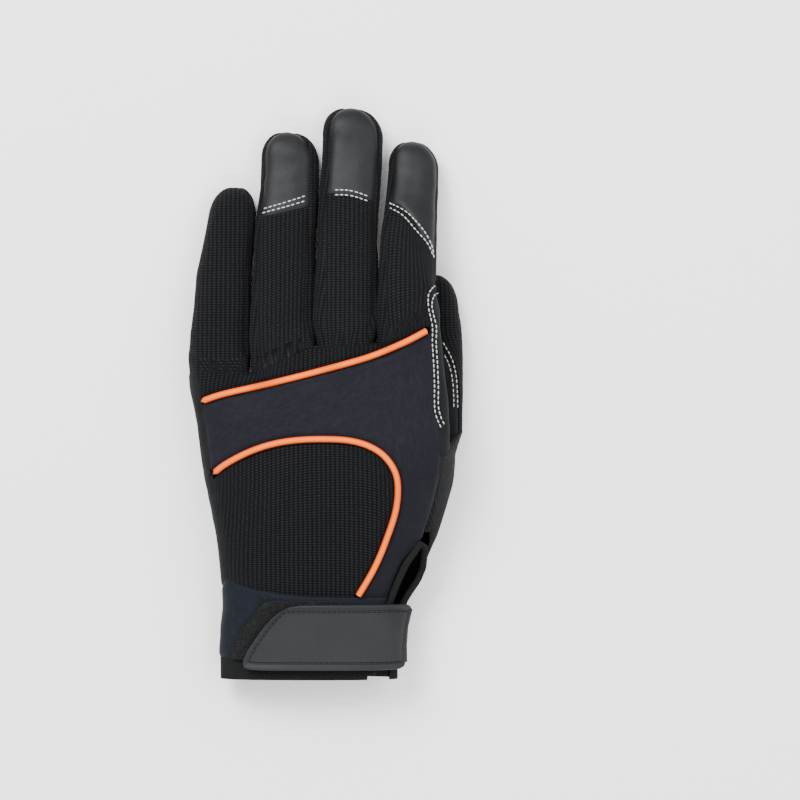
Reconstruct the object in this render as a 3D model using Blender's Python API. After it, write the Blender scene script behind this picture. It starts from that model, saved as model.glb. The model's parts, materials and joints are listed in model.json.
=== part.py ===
"""A mechanic's work glove for the left hand, lying palm down with its thumb folded under the forefinger's side.

Metres, +Z up, fingers towards +Y, thumb side towards +X. Every panel is a patch of one skin. The skin is made
of cross-sections at constant Y: the hand, the four fingers and the thumb each have a table of sections, whose
rows are shares of the named sizes below. A panel is a grid laid on the skin, drawn back a little from its seams
and given its wall inwards.
"""

import math
from collections import namedtuple

import bmesh
import bpy
from mathutils import Vector

# Hand sizes
PALM_LENGTH = 0.1445
HAND_WIDTH = 0.109
HAND_THICKNESS = 0.025
PINKY_LENGTH = 0.0820
RING_LENGTH = 0.0985
MIDDLE_LENGTH = 0.1045
INDEX_LENGTH = 0.0870
FINGER_THICKNESS = 0.0175
THUMB_LENGTH = 0.074
THUMB_THICKNESS = 0.0190
THUMB_WIDTH = 0.0275
THUMB_CLEARANCE = 0.0008

# Walls and trim
KNIT_WALL = 0.0012
SUEDE_WALL = 0.0011
NEOPRENE_WALL = 0.0020
LEATHER_WALL = 0.0013
CUFF_WALL = 0.0020
PIPING_DIAMETER = 0.0029
PAD_THICKNESS = 0.0026
INNER_THICKNESS = 0.0009
BINDING_WIDTH = 0.0095
BINDING_WALL = 0.0026
BINDING_CORD = 0.0030
LOOP_THICKNESS = 0.0012
TAB_THICKNESS = 0.0026
TAB_RIM_HEIGHT = 0.0005
STRAP_WIDTH = 0.0230
STRAP_THICKNESS = 0.0014

# Space between neighbours: at seams, at the seams in the thumb's fork, and between the palm and its pads
GAP = 0.0003
FORK_GAP = 0.0005
PAD_SEAT = 0.0006
# How far the fingers and the thumb are pressed flat on the floor
FLATTENING = 0.0006

# The skin's rounding: sections are superellipses, and seams turn the corner at these places
SECTION_POWER = 2.5
PALM_SEAM = 0.93
KNUCKLE_BLEND = 0.022
ROOT_BLEND = 0.014
ROOT_STEP = 0.006
TIP_ROUNDING = 0.0130
TIP_POWER = 2.3
TIP_STEPS = (0.0, 0.42, 0.68, 0.86, 0.965)
ARCH_DROP = 0.34

RADIAL_LIFT = THUMB_THICKNESS + THUMB_CLEARANCE
PAD_LIFT = PAD_THICKNESS + PAD_SEAT

# Shares: along of PALM_LENGTH, left and right of HAND_WIDTH, lift of RADIAL_LIFT, thickness of HAND_THICKNESS
HandSection = namedtuple("HandSection", "along left right pad_lift thumb_lift thickness")
HAND_SECTIONS = (
    HandSection(0.000, -0.415, 0.306, -0.35, 0.00, 1.08),
    HandSection(0.140, -0.414, 0.307, -0.35, 0.00, 1.08),
    HandSection(0.235, -0.404, 0.339, -0.10, 0.00, 1.10),
    HandSection(0.305, -0.409, 0.390, 0.50, 0.02, 1.14),
    HandSection(0.415, -0.425, 0.431, 1.00, 0.14, 1.20),
    HandSection(0.519, -0.450, 0.463, 1.00, 0.42, 1.20),
    HandSection(0.623, -0.477, 0.495, 1.00, 0.83, 1.12),
    HandSection(0.706, -0.495, 0.505, 1.00, 1.00, 1.04),
    HandSection(0.796, -0.514, 0.500, 1.05, 1.00, 1.00),
    HandSection(0.907, -0.538, 0.486, 1.20, 1.01, 0.96),
    HandSection(1.060, -0.547, 0.468, 1.60, 1.01, 0.90),
)

# The seam where the back meets the thumb side, as shares of PALM_LENGTH and HAND_WIDTH
SeamPoint = namedtuple("SeamPoint", "along across")
RADIAL_SEAM = (
    SeamPoint(0.430, 0.400),
    SeamPoint(0.540, 0.444),
    SeamPoint(0.637, 0.466),
    SeamPoint(0.740, 0.470),
    SeamPoint(0.830, 0.446),
    SeamPoint(0.950, 0.438),
    SeamPoint(1.087, 0.430),
)

# Shares: centre and width of HAND_WIDTH, lift of RADIAL_LIFT, thickness of FINGER_THICKNESS
# ulnar_seam and radial_seam are shares of the half width
# back_ends and palm_end are shares of the finger's reach at which the leather tip starts
Finger = namedtuple("Finger", "name length root_along back_ends palm_end ulnar_seam radial_seam sections")
FingerSection = namedtuple("FingerSection", "along centre width lift thickness")
FINGERS = (
    Finger("pinky", PINKY_LENGTH, 0.920, (1.00, 1.00), 0.66, 0.93, 0.86, (
        FingerSection(0.00, -0.420, 0.252, 0.30, 1.10),
        FingerSection(0.28, -0.408, 0.234, 0.24, 1.00),
        FingerSection(0.52, -0.397, 0.220, 0.12, 0.97),
        FingerSection(0.84, -0.366, 0.192, 0.00, 0.92),
        FingerSection(1.00, -0.354, 0.180, 0.00, 0.90),
    )),
    Finger("ring", RING_LENGTH, 0.970, (0.64, 0.65), 0.66, 0.87, 0.72, (
        FingerSection(0.00, -0.158, 0.238, 0.66, 1.18),
        FingerSection(0.25, -0.156, 0.246, 0.50, 1.03),
        FingerSection(0.50, -0.152, 0.248, 0.24, 1.00),
        FingerSection(0.84, -0.134, 0.234, 0.00, 0.95),
        FingerSection(1.00, -0.140, 0.224, 0.00, 0.93),
    )),
    Finger("middle", MIDDLE_LENGTH, 1.000, (0.64, 0.60), 0.67, 0.76, 0.84, (
        FingerSection(0.00, 0.101, 0.238, 0.90, 1.24),
        FingerSection(0.25, 0.100, 0.240, 0.72, 1.06),
        FingerSection(0.50, 0.099, 0.241, 0.36, 1.00),
        FingerSection(0.84, 0.119, 0.243, 0.00, 0.97),
        FingerSection(1.00, 0.110, 0.236, 0.00, 0.95),
    )),
    Finger("index", INDEX_LENGTH, 1.020, (0.69, 0.31), 0.62, 0.82, 0.95, (
        FingerSection(0.00, 0.350, 0.216, 1.02, 1.20),
        FingerSection(0.24, 0.340, 0.222, 1.00, 1.04),
        FingerSection(0.50, 0.342, 0.222, 0.62, 1.00),
        FingerSection(0.84, 0.361, 0.200, 0.03, 0.95),
        FingerSection(1.00, 0.352, 0.200, 0.00, 0.93),
    )),
)

# The row of finger roots: centre of HAND_WIDTH, middle height, thickness
ROOT_ROWS = [
    (
        finger.sections[0].centre,
        finger.sections[0].lift * RADIAL_LIFT + finger.sections[0].thickness * FINGER_THICKNESS / 2,
        finger.sections[0].thickness * FINGER_THICKNESS,
    )
    for finger in FINGERS
]

# Where each fork's seams start at the crotch, as shares of HAND_WIDTH and of PALM_LENGTH
Fork = namedtuple("Fork", "name left right along")
FORKS = (
    Fork("pinky_ring", -0.313, -0.263, 0.922),
    Fork("ring_middle", -0.046, 0.002, 0.997),
    Fork("middle_index", 0.178, 0.246, 1.006),
)
ULNAR_LIMIT = -0.550
RADIAL_LIMIT = 0.475

# Shares: along of THUMB_LENGTH, centre of HAND_WIDTH, width of THUMB_WIDTH, thickness of THUMB_THICKNESS
ThumbSection = namedtuple("ThumbSection", "along centre width thickness")
THUMB_SECTIONS = (
    ThumbSection(0.00, 0.428, 1.05, 0.92),
    ThumbSection(0.25, 0.430, 1.03, 1.00),
    ThumbSection(0.60, 0.434, 0.98, 1.00),
    ThumbSection(0.85, 0.434, 0.84, 0.92),
    ThumbSection(1.00, 0.436, 0.74, 0.84),
)
THUMB_FORK = 0.706
THUMB_BASE = 0.305
SADDLE_FOOT = 0.671
SADDLE_TURN = 0.035
SADDLE_SPLIT = 0.55
SADDLE_WEB = 0.05
SADDLE_SLANT = 2.2

# Round pipings on the back, as shares of PALM_LENGTH and HAND_WIDTH
UPPER_PIPING = (
    SeamPoint(0.830, -0.498),
    SeamPoint(0.856, -0.394),
    SeamPoint(0.888, -0.205),
    SeamPoint(0.924, -0.014),
    SeamPoint(0.964, 0.176),
    SeamPoint(1.007, 0.319),
    SeamPoint(1.046, 0.418),
)
LOWER_PIPING = (
    SeamPoint(0.601, -0.455),
    SeamPoint(0.641, -0.394),
    SeamPoint(0.680, -0.299),
    SeamPoint(0.705, -0.205),
    SeamPoint(0.718, -0.109),
    SeamPoint(0.722, 0.000),
    SeamPoint(0.718, 0.105),
    SeamPoint(0.700, 0.190),
    SeamPoint(0.664, 0.256),
    SeamPoint(0.606, 0.296),
    SeamPoint(0.520, 0.294),
    SeamPoint(0.425, 0.256),
    SeamPoint(0.335, 0.206),
    SeamPoint(0.246, 0.138),
)

# The cuff's seam: angle in degrees round the section from the thumb side over the back, along of PALM_LENGTH
CUFF_SEAM = (
    (30, 0.244),
    (90, 0.248),
    (120, 0.266),
    (140, 0.284),
    (155, 0.300),
    (180, 0.275),
    (205, 0.250),
    (230, 0.236),
    (310, 0.236),
    (335, 0.262),
    (360, 0.310),
    (369, 0.335),
    (384.4, 0.430),
)
# Where the seam reaches the little finger's side of the back
CUFF_SEAM_ULNAR = 0.300

# The slit: its left edge, then its right edge's section angles in degrees at the hem and at the seam
SLIT_LEFT = (
    SeamPoint(0.000, 0.196),
    SeamPoint(0.090, 0.216),
    SeamPoint(0.240, 0.272),
    SeamPoint(0.344, 0.330),
    SeamPoint(0.400, 0.380),
)
SLIT_RIGHT_HEM = 395
SLIT_RIGHT_SEAM = 369
SLIT_TOP = 0.430
# How far along the right edge meets the seam, and the angle over which the seam eases away from it
SLIT_FOOT = 0.335
SLIT_EASE_ANGLE = 5
SLIT_EASE = 0.010
SLIT_LIMIT = 0.985
SLIT_SEARCH = 0.2

# The palm panel's thumb-side edge, and the thumb's seams in degrees round its section, along of THUMB_LENGTH
PALM_EDGE = (
    SeamPoint(0.200, 0.250),
    SeamPoint(0.420, 0.235),
    SeamPoint(0.600, 0.262),
    SeamPoint(0.706, 0.312),
    SeamPoint(0.900, 0.372),
    SeamPoint(1.087, 0.428),
)
INDEX_ROOT_END = 1.087
SADDLE_TOP = 1.190
THUMB_TOP_SEAM = ((0.0, 30), (0.25, 36), (0.45, 52), (0.58, 95), (0.66, 126), (0.75, 130), (1.0, 130))
THUMB_INNER_SEAM = ((0.0, 140), (0.45, 140), (0.66, 130), (1.0, 130))
THUMB_UNDER_ANGLE = -80
# Where the saddle patch ends on the thumb
SADDLE_END = 0.66
THUMB_PATCH_START = 0.52

# Where the closing lies on the cuff, as shares of HAND_WIDTH and PALM_LENGTH, and angles in degrees
LOOP_LEFT = -0.370
LOOP_TOP_LEFT = -0.255
LOOP_RIGHT = 0.080
LOOP_LOW = 0.060
LOOP_HIGH = 0.236
TAB_LEFT = -0.325
TAB_TOP_LEFT = -0.165
TAB_LOW = 0.030
TAB_HIGH = 0.226
TAB_RIGHT_ANGLE = 14
STRAP_GAP = 2
STRAP_END_ANGLE = -38
CORNER_ROUNDING = 0.08
END_ROUNDING_POWER = 6
SIDE_ROUNDING_POWER = 12

# Pads on the palm. Knuckle pad rows: share along it, across of HAND_WIDTH, low and high edge of PALM_LENGTH
KNUCKLE_PAD = (
    (0.00, -0.470, 0.815, 0.862),
    (0.08, -0.410, 0.820, 0.905),
    (0.20, -0.300, 0.832, 0.862),
    (0.33, -0.160, 0.845, 0.945),
    (0.46, -0.035, 0.850, 0.900),
    (0.60, 0.070, 0.852, 0.985),
    (0.76, 0.185, 0.856, 0.915),
    (0.90, 0.285, 0.862, 0.975),
    (1.00, 0.335, 0.868, 0.960),
)
PadShape = namedtuple("PadShape", "across along half_width half_length lean squareness")
HEEL_PAD = PadShape(-0.050, 0.575, 0.290, 0.225, 0.060, 1.06)
INNER_PAD = PadShape(-0.120, 0.560, 0.140, 0.150, 0.040, 1.06)
PAD_EDGE = 0.35

# How finely the panels are cut
FINGER_COLUMNS = 4
FINGER_ROWS = 6
SIDE_COLUMNS = 4
FORK_COLUMNS = 2
CAP_ROWS = 3
SIDE_ROWS = 4
KNUCKLE_ROWS = 3
BAND_COLUMNS = 26
BAND_ROWS = 4
BAND_CORNER = 0.5
LOWER_COLUMNS = 10
LOWER_ROWS = 8
LOWER_CORNER = 0.62
PALM_ROWS = 11
ROW_CROWDING = 1.5
# How often a place that depends on itself is worked out again, and how often a range is halved
SETTLING = 6
HALVINGS = 30
STRIP_ROWS = 8
THUMB_COLUMNS = 6
THUMB_BASE_ROWS = 5
THUMB_ROWS = 6
SADDLE_COLUMNS = 5
SADDLE_ROWS = 20
WAVE_COLUMNS = 24
DISC_COLUMNS = 15
PAD_ROWS = 5
CUFF_COLUMNS = 36
CUFF_ROWS = 3
HEM_ROWS = 1
SLIT_STEPS = 8
SLIT_SEAM_STEPS = 2
PIPING_STEPS = 30
PIPING_RISE = 0.10
LOOP_COLUMNS = 6
LOOP_ROWS = 2
STRAP_ROWS = 3
TAB_COLUMNS = 12
TAB_ROWS = 6

# How close points are one point, and how far a wall's inner edge is drawn back, as shares of the wall
WELD = 2e-5
UNDERCUT = 0.55
EDGE_UNDERCUT = 0.9
FORK_UNDERCUT = 1.2
SHARPEST_MITRE = 0.5
SHARP_ANGLE = 40

MATERIALS = {
    "knit": ("#17191c", 0.85, 0.0),
    "neoprene": ("#22232c", 0.75, 0.0),
    "cuff": ("#1c2029", 0.75, 0.0),
    "suede": ("#262927", 0.95, 0.0),
    "leather": ("#2e3134", 0.50, 0.0),
    "pad": ("#3a3c44", 0.50, 0.0),
    "piping": ("#f4682a", 0.40, 0.0),
    "binding": ("#1a1b1a", 0.90, 0.0),
    "loop": ("#101112", 1.00, 0.0),
    "tab": ("#45474c", 0.55, 0.0),
}


def smooth_step(value):
    """Rises from 0 to 1 with flat ends."""
    value = min(max(value, 0.0), 1.0)
    return value * value * (3 - 2 * value)


def mix(first, second, share):
    """The value or point at a share of the way from first to second."""
    return first * (1 - share) + second * share


def follow(rows, at):
    """Reads a table at a place along its first column, on a smooth curve through its rows."""
    keys = [row[0] for row in rows]
    if keys[0] > keys[-1]:
        raise ValueError("a table's first column rises")
    at = min(max(at, keys[0]), keys[-1])
    i = max(k for k in range(len(keys) - 1) if keys[k] <= at)
    span = keys[i + 1] - keys[i]
    t = (at - keys[i]) / span
    values = []
    for column in range(1, len(rows[0])):
        here, there = rows[i][column], rows[i + 1][column]
        slope_in = slope_out = (there - here) / span
        if i > 0:
            slope_in = (there - rows[i - 1][column]) / (keys[i + 1] - keys[i - 1])
        if i + 2 < len(rows):
            slope_out = (rows[i + 2][column] - here) / (keys[i + 2] - keys[i])
        values.append(
            here * (2 * t**3 - 3 * t**2 + 1)
            + there * (3 * t**2 - 2 * t**3)
            + span * slope_in * (t**3 - 2 * t**2 + t)
            + span * slope_out * (t**3 - t**2)
        )
    return values


def plan_curve(points, share):
    """A place in plan on a smooth curve through seam points, at a share of their number."""
    rows = [(i / (len(points) - 1), p.across * HAND_WIDTH, p.along * PALM_LENGTH) for i, p in enumerate(points)]
    x, y = follow(rows, share)
    return Vector((x, y))


def offset_curve(points, share, distance):
    """plan_curve moved sideways, to its left where distance is positive."""
    step = 0.01
    ahead = plan_curve(points, min(share + step, 1.0)) - plan_curve(points, max(share - step, 0.0))
    left = Vector((-ahead.y, ahead.x)).normalized()
    return plan_curve(points, share) + left * distance


def signed_power(value, power):
    """A power that keeps the sign, for superellipses."""
    return math.copysign(abs(value) ** power, value)


def angle_at(share, above=True):
    """The superellipse angle, in radians, whose point lies at a share of the half width."""
    share = max(-1.0, min(1.0, share))
    angle = math.acos(signed_power(share, SECTION_POWER / 2))
    return angle if above else -angle


def section_point(centre, half_width, lift, thickness, angle, y):
    """A point of a superellipse section that rests on lift, which may be a function of x."""
    x = centre + half_width * signed_power(math.cos(angle), 2 / SECTION_POWER)
    height = signed_power(math.sin(angle), 2 / SECTION_POWER)
    low = lift(x) if callable(lift) else lift
    return Vector((x, y, max(0.0, low + thickness / 2 * (1 + height))))


def hand_section(y):
    """Centre, half width, lift function and thickness of the hand's section at y."""
    left, right, pad, thumb, thick = follow(HAND_SECTIONS, y / PALM_LENGTH)
    left, right = left * HAND_WIDTH, right * HAND_WIDTH

    def lift(x):
        share = (x - left) / (right - left)
        return PAD_LIFT * pad * (1 - share) + RADIAL_LIFT * thumb * share

    return (left + right) / 2, (right - left) / 2, lift, thick * HAND_THICKNESS


def hand_point(y, angle):
    """The hand's skin at y and a section angle, counted from the thumb side up over the back."""
    return section_point(*hand_section(y), angle, y)


def tip_scale(left_over):
    """How far a section has shrunk where only a short way is left to the tip."""
    reach = min(max((TIP_ROUNDING - left_over) / TIP_ROUNDING, 0.0), TIP_STEPS[-1])
    return (1 - reach**TIP_POWER) ** (1 / TIP_POWER)


def finger_section(finger, y):
    """Centre, half width, lift and thickness of a finger's section at y, rounded off towards its tip."""
    along = y - finger.root_along * PALM_LENGTH
    centre, width, lift, thick = follow(finger.sections, along / finger.length)
    scale = tip_scale(finger.length - along)
    full = thick * FINGER_THICKNESS
    low = lift * RADIAL_LIFT + full * (1 - scale) / 2 - FLATTENING
    return centre * HAND_WIDTH, width * HAND_WIDTH / 2 * scale, low, full * scale


def finger_point(finger, y, angle):
    """A finger's skin at y and a section angle."""
    return section_point(*finger_section(finger, y), angle, y)


def section_height(section, x, side):
    """Height of a section's skin over x: side is 1 on the back, -1 on the palm."""
    centre, half_width, lift, thickness = section
    share = min(abs((x - centre) / half_width), 1.0)
    low = lift(x) if callable(lift) else lift
    bulge = (1 - share**SECTION_POWER) ** (1 / SECTION_POWER)
    return low + thickness / 2 * (1 + side * bulge)


def crotch_along(x):
    """How far up the hand's body reaches at x: the line through the forks, in metres."""
    rows = [(HAND_SECTIONS[-1].left, FINGERS[0].root_along)]
    for fork in FORKS:
        rows += [(fork.left, fork.along), (fork.right, fork.along)]
    rows.append((RADIAL_SEAM[-1].across, INDEX_ROOT_END))
    return follow(rows, x / HAND_WIDTH)[0] * PALM_LENGTH


def arch_height(x, side):
    """Height of the row of finger roots over x, which dips between the fingers."""
    edges = [ULNAR_LIMIT] + [(fork.left + fork.right) / 2 for fork in FORKS] + [RADIAL_LIMIT]
    share = min(max(x / HAND_WIDTH, ULNAR_LIMIT), RADIAL_LIMIT)
    index = max(i for i in range(len(FINGERS)) if edges[i] <= share)
    middle = (edges[index] + edges[index + 1]) / 2
    half = (edges[index + 1] - edges[index]) / 2
    dip = (1 - math.cos(math.pi * abs(share - middle) / half)) / 2
    height, thick = follow(ROOT_ROWS, share)
    return height + side * thick / 2 * (1 - ARCH_DROP * dip)


def body_point(x, y, side):
    """The hand's skin over a plan point: side is 1 on the back, -1 on the palm."""
    flat = section_height(hand_section(y), x, side)
    blend = smooth_step(1 - (crotch_along(x) - y) / KNUCKLE_BLEND)
    return Vector((x, y, max(0.0, mix(flat, arch_height(x, side), blend))))


def seam_x(y):
    """Where the back's thumb-side seam crosses y."""
    return follow(RADIAL_SEAM, y / PALM_LENGTH)[0] * HAND_WIDTH


def palm_edge_x(y):
    """Where the palm panel meets the thumb and the saddle patch, at y."""
    return follow(PALM_EDGE, y / PALM_LENGTH)[0] * HAND_WIDTH


def ulnar_x(y):
    """Where the back's little-finger-side seam crosses y."""
    centre, half_width, _, _ = hand_section(y)
    return centre - half_width * PALM_SEAM


# Fingers


def root_along(index, share):
    """How far up the palm a finger springs from the hand, at a share of the way across it."""
    first = FORKS[index - 1].along if index > 0 else FINGERS[0].root_along
    last = FORKS[index].along if index < len(FORKS) else INDEX_ROOT_END
    return mix(first, last, share)


def root_point(index, share, side):
    """The hand's skin where a finger springs from it, at a share of the way across from its ulnar side."""
    y = root_along(index, share) * PALM_LENGTH
    left = FORKS[index - 1].right * HAND_WIDTH if index > 0 else ulnar_x(y)
    right = FORKS[index].left * HAND_WIDTH if index < len(FORKS) else seam_x(y)
    if side < 0 and index == len(FORKS):
        right = palm_edge_x(y)
    return body_point(mix(left, right, share), y, side)


def finger_y(index, share, reach):
    """The y place at a reach, from 0 at the finger's root to 1 at its tip."""
    finger = FINGERS[index]
    tip = finger.root_along * PALM_LENGTH + finger.length
    return mix(root_along(index, share) * PALM_LENGTH, tip, reach)


def root_blend(index, reach):
    """How far a finger has left the hand's skin for its own, from 0 to 1."""
    return smooth_step(reach * FINGERS[index].length / ROOT_BLEND)


def finger_face(index, share, reach, side):
    """A point of a finger's back (side 1) or front (side -1)."""
    finger = FINGERS[index]
    ulnar = finger.ulnar_seam if side > 0 else PALM_SEAM
    radial = finger.radial_seam if side > 0 else PALM_SEAM
    y = finger_y(index, share, reach)
    own = finger_point(finger, y, angle_at(mix(-ulnar, radial, share), above=side > 0))
    point = mix(root_point(index, share, side), own, root_blend(index, reach))
    point.y = y
    return point


def finger_side(index, share, reach, radial):
    """A point of a finger's side, from its back's seam (share 0) to its front's seam (share 1)."""
    finger = FINGERS[index]
    edge = 1.0 if radial else 0.0
    back = finger_face(index, edge, reach, 1)
    front = finger_face(index, edge, reach, -1)
    first = angle_at(finger.radial_seam if radial else finger.ulnar_seam)
    last = -angle_at(PALM_SEAM)

    def own(angle):
        return finger_point(finger, back.y, angle if radial else math.pi - angle)

    bulge = own(mix(first, last, share)) - mix(own(first), own(last), share)
    blend = root_blend(index, reach)
    if blend < 1 and (index == 0 and not radial or index == len(FORKS) and radial):
        skin = radial_skin if radial else ulnar_skin
        y = root_along(index, edge) * PALM_LENGTH
        hand_bulge = skin(y, share) - mix(skin(y, 0.0), skin(y, 1.0), share)
        return mix(back, front, share) + mix(hand_bulge, bulge, blend)
    return mix(back, front, share) + bulge * blend


def tip_reaches(finger):
    """The reaches of the rows that round a fingertip off."""
    part = TIP_ROUNDING / finger.length
    return [1 - part * (1 - step) for step in TIP_STEPS]


def run_reaches(finger, end):
    """Reaches of a finger's rows from its root to an end, with one row close above the root."""
    near = ROOT_STEP / finger.length
    return [0.0] + [mix(near, end, i / FINGER_ROWS) for i in range(FINGER_ROWS + 1)]


def whole_reaches(finger):
    """Reaches of a finger's rows from its root to its tip, with a row where its palm side turns to leather."""
    straight = 1 - TIP_ROUNDING / finger.length
    return run_reaches(finger, finger.palm_end) + [mix(finger.palm_end, straight, 0.5)] + tip_reaches(finger)


def back_end(finger, share):
    """The reach at which a finger's back turns to leather, on a bowed line across it."""
    return mix(finger.back_ends[0], finger.back_ends[1], share * share)


# Thumb side


def corrected(point_at, start, end, share):
    """A strip of the section's own skin, shifted so that its two edges meet the neighbours' edges."""
    shift_start = start - point_at(0.0)
    shift_end = end - point_at(1.0)
    return point_at(share) + mix(shift_start, shift_end, share)


def seam_angle(y):
    """The section angle of the back's thumb-side seam, kept below the slit's top."""
    y = max(y, SLIT_TOP * PALM_LENGTH)
    centre, half_width, _, _ = hand_section(y)
    return angle_at((seam_x(y) - centre) / half_width)


def radial_skin(y, across):
    """The hand's skin on the thumb side, from the back's seam (0) round to the palm panel's edge (1)."""
    centre, half_width, _, _ = hand_section(y)
    first = seam_angle(y)
    last = angle_at((palm_edge_x(y) - centre) / half_width, above=False)
    start = body_point(seam_x(y), y, 1) if y > SLIT_TOP * PALM_LENGTH else hand_point(y, first)
    end = body_point(palm_edge_x(y), y, -1)
    return corrected(lambda share: hand_point(y, mix(first, last, share)), start, end, across)


def ulnar_skin(y, across):
    """The hand's skin on the little finger's side, from the back's seam (0) round to the palm's edge (1)."""
    first = math.pi - angle_at(PALM_SEAM)
    last = math.pi + angle_at(PALM_SEAM)
    start = body_point(ulnar_x(y), y, 1)
    end = body_point(ulnar_x(y), y, -1)
    return corrected(lambda share: hand_point(y, mix(first, last, share)), start, end, across)


def thumb_section(y):
    """Centre, half width, lift and thickness of the thumb's section at y, rounded off towards its tip."""
    along = max(y - THUMB_FORK * PALM_LENGTH, 0.0)
    centre, width, thick = follow(THUMB_SECTIONS, along / THUMB_LENGTH)
    scale = tip_scale(THUMB_LENGTH - along)
    full = thick * THUMB_THICKNESS
    low = full * (1 - scale) / 2 - FLATTENING
    return centre * HAND_WIDTH, width * THUMB_WIDTH / 2 * scale, low, full * scale


def thumb_point(y, angle):
    """The thumb's skin at y and a section angle."""
    return section_point(*thumb_section(y), angle, y)


def thumb_angle(y, around):
    """The thumb's section angle from its upper seam (0) round under it (0.5) to its inner seam (1)."""
    share = (y / PALM_LENGTH - THUMB_FORK) * PALM_LENGTH / THUMB_LENGTH
    top = follow(THUMB_TOP_SEAM, share)[0]
    inner = follow(THUMB_INNER_SEAM, share)[0]
    if around < 0.5:
        return math.radians(mix(top, THUMB_UNDER_ANGLE, around * 2))
    return math.radians(mix(THUMB_UNDER_ANGLE, inner - 360, around * 2 - 1))


def thumb_edge(y):
    """The upper edge of the thumb's back: the hand's seam, the saddle's foot, then the thumb's own seam."""
    foot, end = SADDLE_FOOT * PALM_LENGTH, (THUMB_FORK + SADDLE_TURN) * PALM_LENGTH
    share = smooth_step((y - foot) / (end - foot))
    return mix(radial_skin(y, 0.0), thumb_point(y, thumb_angle(y, 0.0)), share)


def thumb_inner_edge(y):
    """The inner edge of the thumb's front: the palm's edge up to the fork, then the thumb's own seam."""
    fork = THUMB_FORK * PALM_LENGTH
    if y <= fork:
        return radial_skin(y, 1.0)
    palm = radial_skin(fork, 1.0)
    palm.y = y
    return mix(palm, thumb_point(y, thumb_angle(y, 1.0)), smooth_step((y - fork) / ROOT_BLEND))


def thumb_skin(y, around):
    """The skin of the thumb and of its base, which grows out of the hand's side."""
    fork = THUMB_FORK * PALM_LENGTH
    base = THUMB_BASE * PALM_LENGTH
    blend = smooth_step((y - base) / (fork - base))

    def own(place):
        lobe = thumb_point(y, thumb_angle(max(y, fork), place))
        return lobe if y >= fork else mix(radial_skin(y, place), lobe, blend)

    start = thumb_edge(y) if y < (THUMB_FORK + SADDLE_TURN) * PALM_LENGTH else own(0.0)
    end = thumb_inner_edge(y)
    point = own(around) + (start - own(0.0)) * max(0.0, 1 - 2 * around) ** 2
    point += (end - own(1.0)) * max(0.0, 2 * around - 1) ** 2
    point.z = max(point.z, 0.0)
    return point


def saddle_point(across, along):
    """The saddle patch: down the hand's side to the fork, then up the thumb's top."""
    foot, fork = SADDLE_FOOT * PALM_LENGTH, THUMB_FORK * PALM_LENGTH
    if along <= SADDLE_SPLIT + WELD:
        share = along / SADDLE_SPLIT
        top = SADDLE_TOP * PALM_LENGTH
        y = mix(top, mix(foot, fork, min(1.0, SADDLE_SLANT * across)), share)
        root = INDEX_ROOT_END * PALM_LENGTH
        if y <= root:
            return radial_skin(y, across)
        finger = FINGERS[-1]
        tip = finger.root_along * PALM_LENGTH + finger.length
        return finger_side(len(FINGERS) - 1, across, (y - root) / (tip - root), True)
    share = (along - SADDLE_SPLIT - SADDLE_WEB) / (1 - SADDLE_SPLIT - SADDLE_WEB)
    end = fork + SADDLE_END * THUMB_LENGTH
    turn = SADDLE_TURN * PALM_LENGTH
    y = mix(mix(foot + turn, end, share), mix(fork, end, share), across)
    top, inner = thumb_angle(y, 0.0), thumb_angle(y, 1.0) + 2 * math.pi
    point = thumb_point(y, mix(top, inner, across))
    point += (thumb_edge(y) - thumb_point(y, top)) * (1 - across) ** 2
    return point + (thumb_inner_edge(y) - thumb_point(y, inner)) * across**2


# Making solids


def grid(columns, rows, place, flip=False):
    """A bmesh grid whose points are placed by a function of two shares, columns first."""
    bm = bmesh.new()
    bmesh.ops.create_grid(bm, x_segments=columns, y_segments=rows, size=0.5)
    for vert in bm.verts:
        vert.co = place(vert.co.x + 0.5, vert.co.y + 0.5)
    if flip:
        bmesh.ops.reverse_faces(bm, faces=bm.faces)
    return bm


def gather(parts):
    """Puts several bmeshes into one."""
    sheet = bmesh.new()
    for part in parts:
        mesh = bpy.data.meshes.new("piece")
        part.to_mesh(mesh)
        part.free()
        sheet.from_mesh(mesh)
        bpy.data.meshes.remove(mesh)
    return sheet


def inward_steps(bm):
    """For each border vertex, the step in the sheet that moves its border edges in by one unit."""
    sides = {}
    for edge in bm.edges:
        if len(edge.link_faces) != 1:
            continue
        face = edge.link_faces[0]
        along = (edge.verts[1].co - edge.verts[0].co).normalized()
        step = face.normal.cross(along)
        if step.dot(face.calc_center_median() - edge.verts[0].co) < 0:
            step.negate()
        for vert in edge.verts:
            sides.setdefault(vert.index, []).append(step)
    steps = {}
    for index, found in sides.items():
        total = sum(found, Vector())
        steps[index] = total / max(1 + found[0].dot(found[-1]), SHARPEST_MITRE) if len(found) == 2 else total
    return steps


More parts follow.
